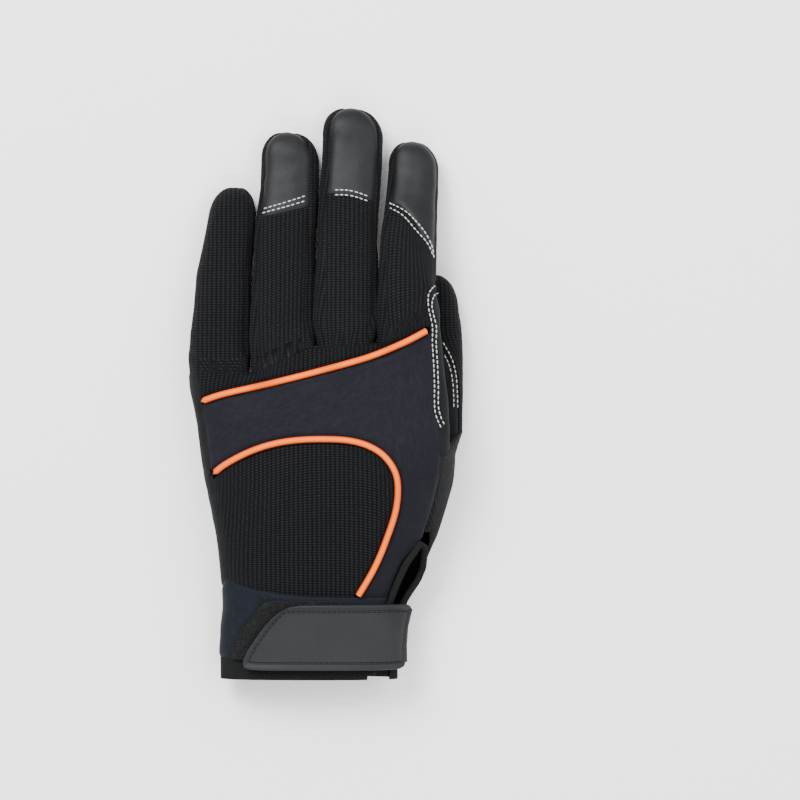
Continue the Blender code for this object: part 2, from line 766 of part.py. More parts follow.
def shell(name, parts, wall, material, outer_margin=GAP / 2, undercut=UNDERCUT):
    """Makes a panel from its grids: drawn back from its seams, with its wall on the inner side."""
    bm = gather(parts)
    bmesh.ops.remove_doubles(bm, verts=bm.verts, dist=WELD)
    bmesh.ops.dissolve_degenerate(bm, dist=WELD, edges=bm.edges)
    bmesh.ops.triangulate(bm, faces=bm.faces)
    bm.verts.index_update()
    bm.normal_update()
    steps = inward_steps(bm)
    count = len(bm.verts)
    normals = [vert.normal.copy() for vert in bm.verts]
    outer = list(bm.verts)
    places = {tuple(vert.co): vert.index for vert in bm.verts}
    made = bmesh.ops.extrude_face_region(bm, geom=list(bm.faces), use_keep_orig=True)
    inner = [item for item in made["geom"] if isinstance(item, bmesh.types.BMVert)]
    for vert in inner:
        index = places[tuple(vert.co)]
        step = steps.get(index, Vector())
        vert.co += step * (outer_margin + undercut * wall) - normals[index] * wall
    for vert in outer[:count]:
        vert.co += steps.get(vert.index, Vector()) * outer_margin
    bmesh.ops.recalc_face_normals(bm, faces=bm.faces)
    return finish(name, bm, material)


def plate(name, columns, rows, low, high, material):
    """A closed pad between two sheets that share their plan."""
    bm = gather([grid(columns, rows, low), grid(columns, rows, high)])
    border = [edge for edge in bm.edges if len(edge.link_faces) == 1]
    bmesh.ops.bridge_loops(bm, edges=border)
    bmesh.ops.triangulate(bm, faces=bm.faces)
    bmesh.ops.recalc_face_normals(bm, faces=bm.faces)
    return finish(name, bm, material)


def tube(name, points, radius, material):
    """A round cord along a list of points."""
    curve = bpy.data.curves.new(name, "CURVE")
    curve.dimensions = "3D"
    curve.bevel_depth = radius
    curve.bevel_resolution = 2
    curve.use_fill_caps = True
    spline = curve.splines.new("POLY")
    spline.points.add(len(points) - 1)
    for spot, point in zip(spline.points, points):
        spot.co = (*point, 1.0)
    part = bpy.data.objects.new(name, curve)
    bpy.context.scene.collection.objects.link(part)
    curve.materials.append(make_material(material))
    return part


def finish(name, bm, material):
    """Turns a bmesh into a named, smooth-shaded object with its material."""
    mesh = bpy.data.meshes.new(name)
    bm.to_mesh(mesh)
    bm.free()
    mesh.shade_smooth()
    mesh.set_sharp_from_angle(angle=math.radians(SHARP_ANGLE))
    part = bpy.data.objects.new(name, mesh)
    bpy.context.scene.collection.objects.link(part)
    part.data.materials.append(make_material(material))
    return part


def linear(channel):
    """One sRGB channel as a linear value."""
    return channel / 12.92 if channel <= 0.04045 else ((channel + 0.055) / 1.055) ** 2.4


def make_material(name):
    """A plain finish with the colour and roughness of one of the glove's stuffs."""
    found = bpy.data.materials.get(name)
    if found:
        return found
    colour, roughness, metallic = MATERIALS[name]
    material = bpy.data.materials.new(name)
    material.use_nodes = True
    shader = material.node_tree.nodes["Principled BSDF"]
    channels = [linear(int(colour[i : i + 2], 16) / 255) for i in (1, 3, 5)]
    shader.inputs["Base Color"].default_value = (*channels, 1.0)
    shader.inputs["Roughness"].default_value = roughness
    shader.inputs["Metallic"].default_value = metallic
    return material


def stop_rows(rows):
    """Lets a grid's share pick from a list, one entry a row."""
    return lambda share: rows[round(share * (len(rows) - 1))]


# Back of the hand


def piping_share(x):
    """The share along the upper piping at which it passes x."""
    first, last = UPPER_PIPING[0].across, UPPER_PIPING[-1].across
    low, high = 0.0, 1.0
    for _ in range(HALVINGS):
        middle = (low + high) / 2
        if plan_curve(UPPER_PIPING, middle).x < min(max(x, first * HAND_WIDTH), last * HAND_WIDTH):
            low = middle
        else:
            high = middle
    return (low + high) / 2


def right_edge_x(y):
    """The back's edge on the thumb side: the slit's left edge, then the seam above it."""
    if y >= SLIT_TOP * PALM_LENGTH:
        return seam_x(y)
    return follow(SLIT_LEFT + (SeamPoint(SLIT_TOP, RADIAL_SEAM[0].across),), y / PALM_LENGTH)[0] * HAND_WIDTH


def settled(angle_at_y):
    """The y of the cuff's seam, whose section angle in degrees itself changes with y."""
    y = CUFF_SEAM[0][1] * PALM_LENGTH
    for _ in range(SETTLING):
        y = follow(CUFF_SEAM, angle_at_y(y))[0] * PALM_LENGTH
    return y


def cuff_seam_y(x, above=True):
    """The y of the cuff's seam at a plan x, on the back or on the palm."""

    def angle(y):
        centre, half_width, _, _ = hand_section(y)
        return math.degrees(angle_at((x - centre) / half_width, above)) + (0 if above else 360)

    return settled(angle)


def back_knit():
    """The knuckles and the backs of the fingers, with a square-ended notch for each fourchette."""
    stops = [(i, column / FINGER_COLUMNS) for i in range(len(FINGERS)) for column in range(FINGER_COLUMNS + 1)]
    crotch = [root_point(index, share, 1) for index, share in stops]
    at_stop = stop_rows(crotch)
    margin = PIPING_DIAMETER / 2 + GAP / 2

    def knuckles(u, v):
        top = at_stop(u)
        low = offset_curve(UPPER_PIPING, piping_share(top.x), margin)
        if u < WELD:
            low.x = ulnar_x(low.y)
        if u > 1 - WELD:
            low.x = seam_x(low.y)
        spot = mix(low, top.xy, v)
        return body_point(spot.x, spot.y, 1)

    parts = [grid(len(crotch) - 1, KNUCKLE_ROWS, knuckles)]
    for index, finger in enumerate(FINGERS):
        if index == 0:
            at_row = stop_rows(whole_reaches(finger))
            rows = len(whole_reaches(finger)) - 1
            parts.append(grid(FINGER_COLUMNS, rows, lambda u, v: finger_face(0, u, at_row(v), 1)))
            parts.append(grid(SIDE_COLUMNS, rows, lambda u, v: finger_side(0, u, at_row(v), False), flip=True))
            continue

        def back(u, v, i=index):
            reach = stop_rows(run_reaches(FINGERS[i], back_end(FINGERS[i], u)))(v)
            return finger_face(i, u, reach, 1)

        parts.append(grid(FINGER_COLUMNS, FINGER_ROWS + 1, back))
    shell("back_knit", parts, KNIT_WALL, "knit", undercut=EDGE_UNDERCUT)


def tip_cap(index):
    """The leather of a fingertip, from the back's seam over the tip to the front's seam."""
    finger = FINGERS[index]
    tip = tip_reaches(finger)
    straight = 1 - TIP_ROUNDING / finger.length

    def place(u, v):
        start, end = back_end(finger, u), finger.palm_end
        rows = [(mix(start, straight, i / CAP_ROWS), 1) for i in range(CAP_ROWS)]
        rows += [(reach, 1) for reach in tip]
        rows += [(reach, -1) for reach in reversed(tip)]
        rows += [(mix(straight, end, i / CAP_ROWS), -1) for i in range(1, CAP_ROWS + 1)]
        reach, side = stop_rows(rows)(v)
        return finger_face(index, u, reach, side)

    rows = 2 * (CAP_ROWS + len(TIP_STEPS)) - 1
    shell(f"tip_cap_{finger.name}", [grid(FINGER_COLUMNS, rows, place)], LEATHER_WALL, "leather")


def tip_patch_pinky():
    """The leather on the little finger's pad, up to the end of its knit back."""
    finger = FINGERS[0]
    tip = tip_reaches(finger)
    straight = 1 - TIP_ROUNDING / finger.length
    front = [(r, -1) for r in reversed(tip)]
    front += [(mix(straight, finger.palm_end, (i + 1) / CAP_ROWS), -1) for i in range(CAP_ROWS)]
    at_row = stop_rows([(tip[-1], 1)] + front)

    def place(u, v):
        return finger_face(0, u, *at_row(v))

    shell("tip_patch_pinky", [grid(FINGER_COLUMNS, len(front), place)], LEATHER_WALL, "leather")


def fourchette(index):
    """The knit strip between two fingers, down one side, across the fork and up the other."""
    fork = FORKS[index]
    rows = []
    for finger, radial in ((index, True), (index + 1, False)):
        rows.append([(finger, reach, radial) for reach in whole_reaches(FINGERS[finger])])
    at_row = stop_rows(list(reversed(rows[0])) + rows[1])
    count = len(rows[0]) + len(rows[1]) - 1

    def place(u, v):
        finger, reach, radial = at_row(v)
        return finger_side(finger, u, reach, radial)

    strip = grid(FORK_COLUMNS, count, place, flip=True)
    shell(f"fourchette_{fork.name}", [strip], KNIT_WALL, "knit", undercut=FORK_UNDERCUT)


def side_strip_index():
    """The suede strip on the forefinger's outer side, from the saddle patch to the tip."""
    finger = FINGERS[-1]
    root, tip = INDEX_ROOT_END * PALM_LENGTH, finger.root_along * PALM_LENGTH + finger.length
    start = (SADDLE_TOP * PALM_LENGTH - root) / (tip - root)
    straight = 1 - TIP_ROUNDING / finger.length
    reaches = [mix(start, straight, i / SIDE_ROWS) for i in range(SIDE_ROWS)] + tip_reaches(finger)
    at_row = stop_rows(reaches)

    def place(u, v):
        return finger_side(len(FINGERS) - 1, u, at_row(v), True)

    shell("side_strip_index", [grid(SIDE_COLUMNS, len(reaches) - 1, place)], SUEDE_WALL, "suede")


def band_outer(share):
    """The band's outer edge: along the upper piping, then down the seam to the cuff."""
    margin = PIPING_DIAMETER / 2 + GAP / 2
    corner = offset_curve(UPPER_PIPING, 1.0, -margin)
    if share <= BAND_CORNER:
        spot = offset_curve(UPPER_PIPING, share / BAND_CORNER, -margin)
        if share < WELD:
            spot.x = ulnar_x(spot.y)
        if share > BAND_CORNER - WELD:
            spot.x = seam_x(spot.y)
        return spot
    down = (share - BAND_CORNER) / (1 - BAND_CORNER)
    end = cuff_seam_y(SLIT_LEFT[2].across * HAND_WIDTH)
    y = mix(corner.y, end, down)
    slit = smooth_step((SLIT_TOP * PALM_LENGTH - y) / SLIT_EASE)
    return Vector((right_edge_x(y) - slit * (BINDING_CORD / 2 + 2 * GAP), y))


def arch(share, side):
    """An edge along the lower piping: side 1 is its outer side, -1 its inner side."""
    margin = PIPING_DIAMETER / 2 + GAP / 2
    spot = offset_curve(LOWER_PIPING, share, side * margin)
    if share < WELD:
        spot.x = ulnar_x(spot.y)
    if share > 1 - WELD:
        spot.y = cuff_seam_y(spot.x)
    return spot


def back_band():
    """The smooth band between the two pipings, which runs on down to the cuff beside the slit."""

    def place(u, v):
        spot = mix(arch(u, 1), band_outer(u), v)
        return body_point(spot.x, spot.y, 1)

    shell("back_band", [grid(BAND_COLUMNS, BAND_ROWS, place)], NEOPRENE_WALL, "neoprene")


def back_knit_lower():
    """The knit panel under the lower piping's arch, down to the cuff's seam."""
    turn = LOWER_CORNER

    def place(u, v):
        left_bottom_x = ulnar_x(CUFF_SEAM_ULNAR * PALM_LENGTH)
        right_bottom = arch(1.0, -1)
        bottom = Vector((mix(left_bottom_x, right_bottom.x, u), 0.0))
        bottom.y = cuff_seam_y(bottom.x)
        top = arch(u * turn, -1)
        left_y = mix(cuff_seam_y(left_bottom_x), arch(0.0, -1).y, v)
        left = Vector((ulnar_x(left_y), left_y))
        right = arch(mix(1.0, turn, v), -1)
        corners = mix(mix(Vector((left_bottom_x, cuff_seam_y(left_bottom_x))), right_bottom, u),
                      mix(arch(0.0, -1), arch(turn, -1), u), v)
        spot = mix(bottom, top, v) + mix(left, right, u) - corners
        return body_point(spot.x, spot.y, 1)

    shell("back_knit_lower", [grid(LOWER_COLUMNS, LOWER_ROWS, place)], KNIT_WALL, "knit")


def piping(name, points, bottom_end):
    """A round piping in the slot between two panels, stopping short of the seams that it runs into."""
    margin = PIPING_DIAMETER / 2 + GAP
    route = []
    for step in range(PIPING_STEPS + 1):
        spot = plan_curve(points, step / PIPING_STEPS)
        inside = spot.x > ulnar_x(spot.y) + margin and spot.x < seam_x(spot.y) - margin
        if inside and (not bottom_end or spot.y > cuff_seam_y(spot.x) + GAP):
            skin = body_point(spot.x, spot.y, 1)
            route.append(skin + Vector((0, 0, PIPING_RISE * PIPING_DIAMETER)))
    tube(name, route, PIPING_DIAMETER / 2, "piping")


# Sides, palm and thumb


def ulnar_strip():
    """The plain strip along the little finger's side of the hand."""

    def place(u, v):
        turn = math.degrees(angle_at(PALM_SEAM))
        start = settled(lambda y: mix(180 - turn, 180 + turn, u))
        return ulnar_skin(mix(start, FINGERS[0].root_along * PALM_LENGTH, v), u)

    shell("ulnar_strip", [grid(SIDE_COLUMNS, STRIP_ROWS, place, flip=True)], SUEDE_WALL, "suede")


def palm_panel():
    """The suede palm with the fronts of the four fingers, up to their leather tips."""
    stops = [(i, column / FINGER_COLUMNS) for i in range(len(FINGERS)) for column in range(FINGER_COLUMNS + 1)]
    at_stop = stop_rows([root_point(index, share, -1) for index, share in stops])

    def body(u, v):
        top = at_stop(u)
        share = (top.x - ulnar_x(top.y)) / (palm_edge_x(INDEX_ROOT_END * PALM_LENGTH) - ulnar_x(top.y))
        rise = 1 - (1 - v) ** ROW_CROWDING
        y = PALM_EDGE[0].along * PALM_LENGTH
        for _ in range(SETTLING):
            x = mix(ulnar_x(y), palm_edge_x(y), mix(u, share, smooth_step(v)))
            y = mix(cuff_seam_y(x, False), top.y, rise)
        if v > 1 - WELD:
            x = top.x
        return body_point(x, y, -1)

    parts = [grid(len(stops) - 1, PALM_ROWS, body, flip=True)]
    for index, finger in enumerate(FINGERS):
        at_row = stop_rows(run_reaches(finger, finger.palm_end))

        def place(u, v, i=index, at=at_row):
            return finger_face(i, u, at(v), -1)

        parts.append(grid(FINGER_COLUMNS, FINGER_ROWS + 1, place, flip=True))
    shell("palm_panel", parts, SUEDE_WALL, "suede", undercut=FORK_UNDERCUT)


def thumb_start(around):
    """The y at which the thumb's panels start: the cuff's seam, then up beside the cord of the slit."""
    cord = BINDING_CORD / 2 + GAP

    def beside(y):
        centre, half_width, _, _ = hand_section(y)
        last = angle_at((palm_edge_x(y) - centre) / half_width, above=False)
        angle = 360 + math.degrees(mix(seam_angle(y), last, around))
        return angle + SLIT_EASE_ANGLE * slit_share(angle)

    y = settled(beside)
    return y + cord * slit_share(beside(y))


def slit_share(angle):
    """How far the seam, at a section angle in degrees, has come within the slit's reach, from 0 to 1."""
    return smooth_step((angle - SLIT_RIGHT_SEAM) / SLIT_EASE_ANGLE + 1)


def thumb_rows(around, first, last):
    """The y places of the thumb's rows between two shares of its reach; None stands for the cuff or the tip."""
    foot, fork = SADDLE_FOOT * PALM_LENGTH, THUMB_FORK * PALM_LENGTH
    turn = fork + SADDLE_TURN * PALM_LENGTH
    straight = fork + THUMB_LENGTH - TIP_ROUNDING
    tip = [straight + TIP_ROUNDING * step for step in TIP_STEPS]
    if first is not None:
        return [mix(fork + first * THUMB_LENGTH, straight, i / CAP_ROWS) for i in range(CAP_ROWS)] + tip
    low = [mix(thumb_start(around), foot, i / THUMB_BASE_ROWS) for i in range(THUMB_BASE_ROWS)] + [foot, fork]
    if last is None:
        return low + [mix(turn, straight, i / THUMB_ROWS) for i in range(THUMB_ROWS)] + tip
    end = fork + last * THUMB_LENGTH
    return low + [mix(turn, end, i / THUMB_ROWS) for i in range(THUMB_ROWS + 1)]


def thumb_panels():
    """The knit back of the thumb, its suede front, and the leather on its pad."""

    def back(u, v):
        return thumb_skin(stop_rows(thumb_rows(u / 2, None, None))(v), u / 2)

    def front(u, v):
        around = 0.5 + u / 2
        return thumb_skin(stop_rows(thumb_rows(around, None, THUMB_PATCH_START))(v), around)

    count = len(thumb_rows(0.0, None, None)) - 1
    shell("thumb_back", [grid(THUMB_COLUMNS, count, back)], KNIT_WALL, "knit", FORK_GAP, EDGE_UNDERCUT)

    count = len(thumb_rows(1.0, None, THUMB_PATCH_START)) - 1
    shell("thumb_front", [grid(THUMB_COLUMNS, count, front)], SUEDE_WALL, "suede", FORK_GAP, EDGE_UNDERCUT)

    def patch(u, v):
        rows = [(y, 0.5 + u / 2) for y in thumb_rows(1.0, THUMB_PATCH_START, None)]
        rows.append((rows[-1][0], 0.5 - u / 2))
        y, around = stop_rows(rows)(v)
        return thumb_skin(y, around)

    count = CAP_ROWS + len(TIP_STEPS)
    shell("thumb_tip", [grid(THUMB_COLUMNS, count, patch)], LEATHER_WALL, "leather")


def saddle_patch():
    """The suede patch in the fork of thumb and forefinger."""
    patch = grid(SADDLE_COLUMNS, SADDLE_ROWS, saddle_point, flip=True)
    shell("saddle_patch", [patch], SUEDE_WALL, "suede", FORK_GAP, FORK_UNDERCUT)


def palm_pad(name, columns, outline, seat, thickness):
    """A stuffed pad under the palm, at a seat below its skin; outline gives its plan from two shares."""

    def face(u, v, depth, floor):
        spot = outline(u, v)
        skin = body_point(spot.x, spot.y, -1)
        skin.z = max(floor, skin.z - seat - depth)
        return skin

    def low(u, v):
        edge = max(abs(2 * u - 1), abs(2 * v - 1)) ** 3
        return face(u, v, thickness * mix(1.0, PAD_EDGE, edge), 0.0)

    plate(name, columns, PAD_ROWS, low, lambda u, v: face(u, v, 0.0, PAD_SEAT), "pad")


def plan(across, along):
    """A plan point from shares of HAND_WIDTH and PALM_LENGTH."""
    return Vector((across * HAND_WIDTH, along * PALM_LENGTH))


def pad_knuckle():
    """The wave-shaped pad under the finger roots."""

    def outline(u, v):
        row = follow(KNUCKLE_PAD, u)
        return plan(row[0], mix(row[1], row[2], v))

    palm_pad("pad_knuckle", WAVE_COLUMNS, outline, PAD_SEAT, PAD_THICKNESS)


def disc_outline(shape):
    """A plan outline whose four sides come from a pad's named points."""

    def outline(u, v):
        centre = plan(shape.across, shape.along)
        a, b = 2 * u - 1, 2 * v - 1
        x = a * math.sqrt(1 - b * b / 2)
        y = b * math.sqrt(1 - a * a / 2)
        stretch = mix(1.0, shape.squareness, abs(a * b))
        x, y = x * stretch, y * stretch
        return centre + Vector((
            x * shape.half_width * HAND_WIDTH + y * shape.lean * HAND_WIDTH,
            y * shape.half_length * PALM_LENGTH,
        ))

    return outline


# Cuff


def cuff_angle(y, around):
    """The section angle in degrees from the slit's left edge (0) round the whole cuff to its right (1)."""
    centre, half_width, _, _ = hand_section(y)
    first = math.degrees(angle_at(min((right_edge_x(y) - centre) / half_width, SLIT_LIMIT)))
    last = mix(SLIT_RIGHT_HEM, SLIT_RIGHT_SEAM, min(1.0, y / (SLIT_FOOT * PALM_LENGTH)))
    return mix(first, last, around)


def cuff_skin(y, angle, out=0.0):
    """The cuff's skin at a section angle in degrees, moved out by a distance."""
    step = math.radians(1.0)
    here = hand_point(y, math.radians(angle))
    if not out:
        return here
    along = hand_point(y, math.radians(angle) + step) - hand_point(y, math.radians(angle) - step)
    normal = Vector((along.z, 0, -along.x))
    moved = here + normal.normalized() * out
    moved.z = max(moved.z, 0.0)
    return moved


def drawn_back(y, angle, turn):
    """A section angle in degrees, turned away from the slit's edge until it clears the cord there."""
    edge = cuff_skin(y, angle)
    while (cuff_skin(y, angle) - edge).length < BINDING_CORD / 2 + 2 * GAP:
        angle += turn * SLIT_SEARCH
    return angle


def ring_angle(y, around):
    """The section angle in degrees round a cuff ring, whose two ends keep clear of the slit's cord."""
    left = drawn_back(y, cuff_angle(y, 0.0), 1)
    right = drawn_back(y, cuff_angle(y, 1.0), -1)
    return mix(left, right, around)


def cuff_ring(name, low, high, rows, wall, material):
    """A strip of the cuff between two heights, open at the slit."""

    def place(u, v):
        y = mix(low, high(u), v)
        return cuff_skin(y, ring_angle(y, u))

    shell(name, [grid(CUFF_COLUMNS, rows, place, flip=True)], wall, material)


def cuff():
    """The neoprene cuff and the binding round its lower edge."""

    def seam(around):
        return settled(lambda y: ring_angle(y, around))

    cuff_ring("cuff_band", BINDING_WIDTH, seam, CUFF_ROWS, CUFF_WALL, "cuff")
    cuff_ring("hem_binding", 0.0, lambda around: BINDING_WIDTH, HEM_ROWS, BINDING_WALL, "binding")


def slit_binding():
    """The binding round the slit, up its left edge and down its right."""
    top = SLIT_TOP * PALM_LENGTH - BINDING_CORD
    route = []
    for step in range(SLIT_STEPS + 1):
        y = mix(BINDING_CORD, top, step / SLIT_STEPS)
        x = right_edge_x(y)
        route.append(body_point(x, y, 1))
    foot = SLIT_FOOT * PALM_LENGTH
    for step in range(1, SLIT_SEAM_STEPS + 1):
        angle = CUFF_SEAM[-1][0] - SLIT_EASE_ANGLE * step
        route.append(hand_point(follow(CUFF_SEAM, angle)[0] * PALM_LENGTH, math.radians(angle)))
    for step in range(SLIT_STEPS, -1, -1):
        y = mix(BINDING_CORD, foot, step / SLIT_STEPS)
        route.append(cuff_skin(y, cuff_angle(y, 1.0)))
    tube("slit_binding", route, BINDING_CORD / 2, "binding")


def back_angle(x):
    """The cuff's section angle, in degrees, at a plan x on its back."""
    centre, half_width, _, _ = hand_section(BINDING_WIDTH)
    return math.degrees(angle_at((x - centre) / half_width))


def cuff_plate(name, corners, out, thickness, columns, rows, material, crown=None):
    """A plate that follows the cuff; its corners are (angle, y): lower left and right, upper left and right."""
    low_left, low_right, high_left, high_right = corners

    def place(u, v, height):
        a, b = 2 * u - 1, 2 * v - 1
        u = 0.5 + a / 2 * (1 - CORNER_ROUNDING * abs(b) ** END_ROUNDING_POWER)
        v = 0.5 + b / 2 * (1 - CORNER_ROUNDING * abs(a) ** SIDE_ROUNDING_POWER)
        angle = mix(mix(low_left[0], low_right[0], u), mix(high_left[0], high_right[0], u), v)
        y = mix(mix(low_left[1], low_right[1], u), mix(high_left[1], high_right[1], u), v)
        return cuff_skin(y, angle, height)

    def low(u, v):
        return place(u, v, out)

    def high(u, v):
        return place(u, v, out + thickness + (crown(u, v) if crown else 0.0))

    plate(name, columns, rows, low, high, material)


def closing():
    """The loop patch, the strap and the rubber tab that close the cuff."""
    length = PALM_LENGTH
    loop_left, loop_top = back_angle(LOOP_LEFT * HAND_WIDTH), back_angle(LOOP_TOP_LEFT * HAND_WIDTH)
    right = back_angle(LOOP_RIGHT * HAND_WIDTH)
    cuff_plate("loop_pad", ((loop_left, LOOP_LOW * length), (right, LOOP_LOW * length),
                            (loop_top, LOOP_HIGH * length), (right, LOOP_HIGH * length)),
               GAP, LOOP_THICKNESS, LOOP_COLUMNS, LOOP_ROWS, "loop")
    left, top_left = back_angle(TAB_LEFT * HAND_WIDTH), back_angle(TAB_TOP_LEFT * HAND_WIDTH)

    def rim(u, v):
        return TAB_RIM_HEIGHT if min(u, 1 - u, v, 1 - v) < WELD else 0.0

    out = 2 * GAP + LOOP_THICKNESS
    cuff_plate("strap_tab", ((left, TAB_LOW * length), (TAB_RIGHT_ANGLE, TAB_LOW * length),
                             (top_left, TAB_HIGH * length), (TAB_RIGHT_ANGLE, TAB_HIGH * length)),
               out, TAB_THICKNESS, TAB_COLUMNS, TAB_ROWS, "tab", rim)
    middle = mix(TAB_LOW, TAB_HIGH, 0.5) * length
    low, high = middle - STRAP_WIDTH / 2, middle + STRAP_WIDTH / 2
    cuff_plate("strap", ((TAB_RIGHT_ANGLE - STRAP_GAP, low), (STRAP_END_ANGLE, low),
                         (TAB_RIGHT_ANGLE - STRAP_GAP, high), (STRAP_END_ANGLE, high)),
               BINDING_CORD / 2 + 2 * GAP, STRAP_THICKNESS, TAB_COLUMNS, STRAP_ROWS, "binding")


def centre_on_floor():
    """Moves every piece so that the glove's box is centred over the origin and rests on the floor."""
    bpy.context.view_layer.update()
    depsgraph = bpy.context.evaluated_depsgraph_get()
    corners = []
    for part in bpy.data.objects:
        mesh = part.evaluated_get(depsgraph).to_mesh()
        corners += [part.matrix_world @ vert.co for vert in mesh.vertices]
    middle_x = (min(c.x for c in corners) + max(c.x for c in corners)) / 2
    middle_y = (min(c.y for c in corners) + max(c.y for c in corners)) / 2
    shift = Vector((-middle_x, -middle_y, -min(c.z for c in corners)))
    for part in bpy.data.objects:
        part.location += shift


def main():
    """Clears the scene and builds every piece."""
    for existing in list(bpy.data.objects):
        bpy.data.objects.remove(existing, do_unlink=True)
    back_knit()
    back_band()
    back_knit_lower()
    piping("piping_upper", UPPER_PIPING, bottom_end=False)
    piping("piping_lower", LOWER_PIPING, bottom_end=True)
    for index in range(len(FORKS)):
        fourchette(index)
        tip_cap(index + 1)
    tip_patch_pinky()
    side_strip_index()
    ulnar_strip()
    palm_panel()
    thumb_panels()
    saddle_patch()
    pad_knuckle()
    palm_pad("pad_heel", DISC_COLUMNS, disc_outline(HEEL_PAD), PAD_SEAT, PAD_THICKNESS)
    palm_pad("pad_inner", DISC_COLUMNS, disc_outline(INNER_PAD), 2 * PAD_SEAT + PAD_THICKNESS, INNER_THICKNESS)
    cuff()
    slit_binding()
    closing()
    centre_on_floor()


main()
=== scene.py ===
"""The finished look of a mechanic's work glove: cloth, suede, leather, rubber, stitches and piping.

The glove lies palm down with its thumb folded under the forefinger's side, and the camera looks straight down.
Metres, +Z up, fingers towards +Y. Every panel is a fine grid on one skin, which is made of cross-sections.
"""

import json
import logging
import math
import random
from collections.abc import Callable, Iterable, Sequence
from dataclasses import dataclass, field
from enum import Enum, IntEnum
from functools import cache, cached_property
from typing import Any, NamedTuple, TypeVar

import bmesh
import bpy
from mathutils import Euler, Matrix, Vector, noise
from mathutils.bvhtree import BVHTree
from mathutils.kdtree import KDTree

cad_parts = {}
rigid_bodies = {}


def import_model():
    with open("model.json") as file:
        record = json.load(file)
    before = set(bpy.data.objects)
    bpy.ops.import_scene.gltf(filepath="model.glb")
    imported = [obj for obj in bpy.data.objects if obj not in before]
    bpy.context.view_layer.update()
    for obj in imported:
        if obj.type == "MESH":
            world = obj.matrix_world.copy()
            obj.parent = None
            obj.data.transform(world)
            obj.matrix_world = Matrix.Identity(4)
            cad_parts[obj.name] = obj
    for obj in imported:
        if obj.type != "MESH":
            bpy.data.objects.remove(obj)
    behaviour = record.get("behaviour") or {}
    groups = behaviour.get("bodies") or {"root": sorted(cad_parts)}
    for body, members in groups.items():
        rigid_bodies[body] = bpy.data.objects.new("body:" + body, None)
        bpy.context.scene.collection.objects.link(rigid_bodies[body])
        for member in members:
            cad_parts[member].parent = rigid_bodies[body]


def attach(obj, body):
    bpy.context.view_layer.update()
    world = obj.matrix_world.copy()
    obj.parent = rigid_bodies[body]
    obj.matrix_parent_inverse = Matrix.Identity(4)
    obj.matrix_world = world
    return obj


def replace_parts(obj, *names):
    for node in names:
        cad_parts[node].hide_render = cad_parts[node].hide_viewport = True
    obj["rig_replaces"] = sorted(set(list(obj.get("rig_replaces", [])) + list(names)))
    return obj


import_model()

LOG = logging.getLogger("glove")

# The step from the glove's own coordinates to the frame's
SHIFT = Vector((-0.001089, -0.124348, 0.000002))
# Points closer than this are one point
WELD = 2e-5
# Edges sharper than this, in degrees, aren't shaded smooth
SHARP_ANGLE = 50

Blend = TypeVar("Blend", float, Vector)
Row = TypeVar("Row")
Sheet = Callable[[float, float], Vector]
Corners = tuple[tuple[float, float], tuple[float, float], tuple[float, float], tuple[float, float]]


class Face(IntEnum):
    """The two sides of the glove."""

    BACK = 1
    PALM = -1


class Edge(IntEnum):
    """The two edges beside the lower piping."""

    OUTER = 1
    INNER = -1


class Undercut(Enum):
    """How far a panel's inner side is drawn in at its edges, in walls."""

    SEAM = 0.55
    EDGE = 0.9
    FORK = 1.2


class HandSection(NamedTuple):
    """Shares: along of palm_length, left and right of hand_width, lifts of the folded thumb and pad, thickness."""

    along: float
    left: float
    right: float
    pad_lift: float
    thumb_lift: float
    thickness: float


class SeamPoint(NamedTuple):
    """A place on a seam, as shares of palm_length and hand_width."""

    along: float
    across: float


class FingerSection(NamedTuple):
    """Shares: centre and width of hand_width, lift of the thumb's, thickness of finger_thickness."""

    along: float
    centre: float
    width: float
    lift: float
    thickness: float


class Finger(NamedTuple):
    """A finger: back_ends and palm_end are shares of its reach at which the leather tip starts."""

    name: str
    length: float
    root_along: float
    back_ends: tuple[float, float]
    palm_end: float
    ulnar_seam: float
    radial_seam: float
    sections: tuple[FingerSection, ...]


class Fork(NamedTuple):
    """Where a fork's seams start at the crotch, as shares of hand_width and of palm_length."""

    name: str
    left: float
    right: float
    along: float


class ThumbSection(NamedTuple):
    """Shares: along of thumb_length, centre of hand_width, width of thumb_width, thickness of thumb_thickness."""

    along: float
    centre: float
    width: float
    thickness: float


class PadShape(NamedTuple):
    """A rounded pad, as shares of hand_width and palm_length."""

    across: float
    along: float
    half_width: float
    half_length: float
    lean: float
    squareness: float


class Section(NamedTuple):
    """A superellipse section that rests on a lift, which may change across it."""

    centre: float
    half_width: float
    low: Callable[[float], float]
    thickness: float


class Seam(NamedTuple):
    """A row of stitches: the side it is seen from, and its plan points in millimetres."""

    side: Face
    points: tuple[tuple[float, float], ...]


# Small sums

def smooth_step(value: float) -> float:
    """Rises from 0 to 1 with flat ends."""
    value = min(max(value, 0.0), 1.0)
    return value * value * (3 - 2 * value)


def mix(first: Blend, second: Blend, share: float) -> Blend:
    """Finds the value or point at a share of the way between two."""
    return first * (1 - share) + second * share


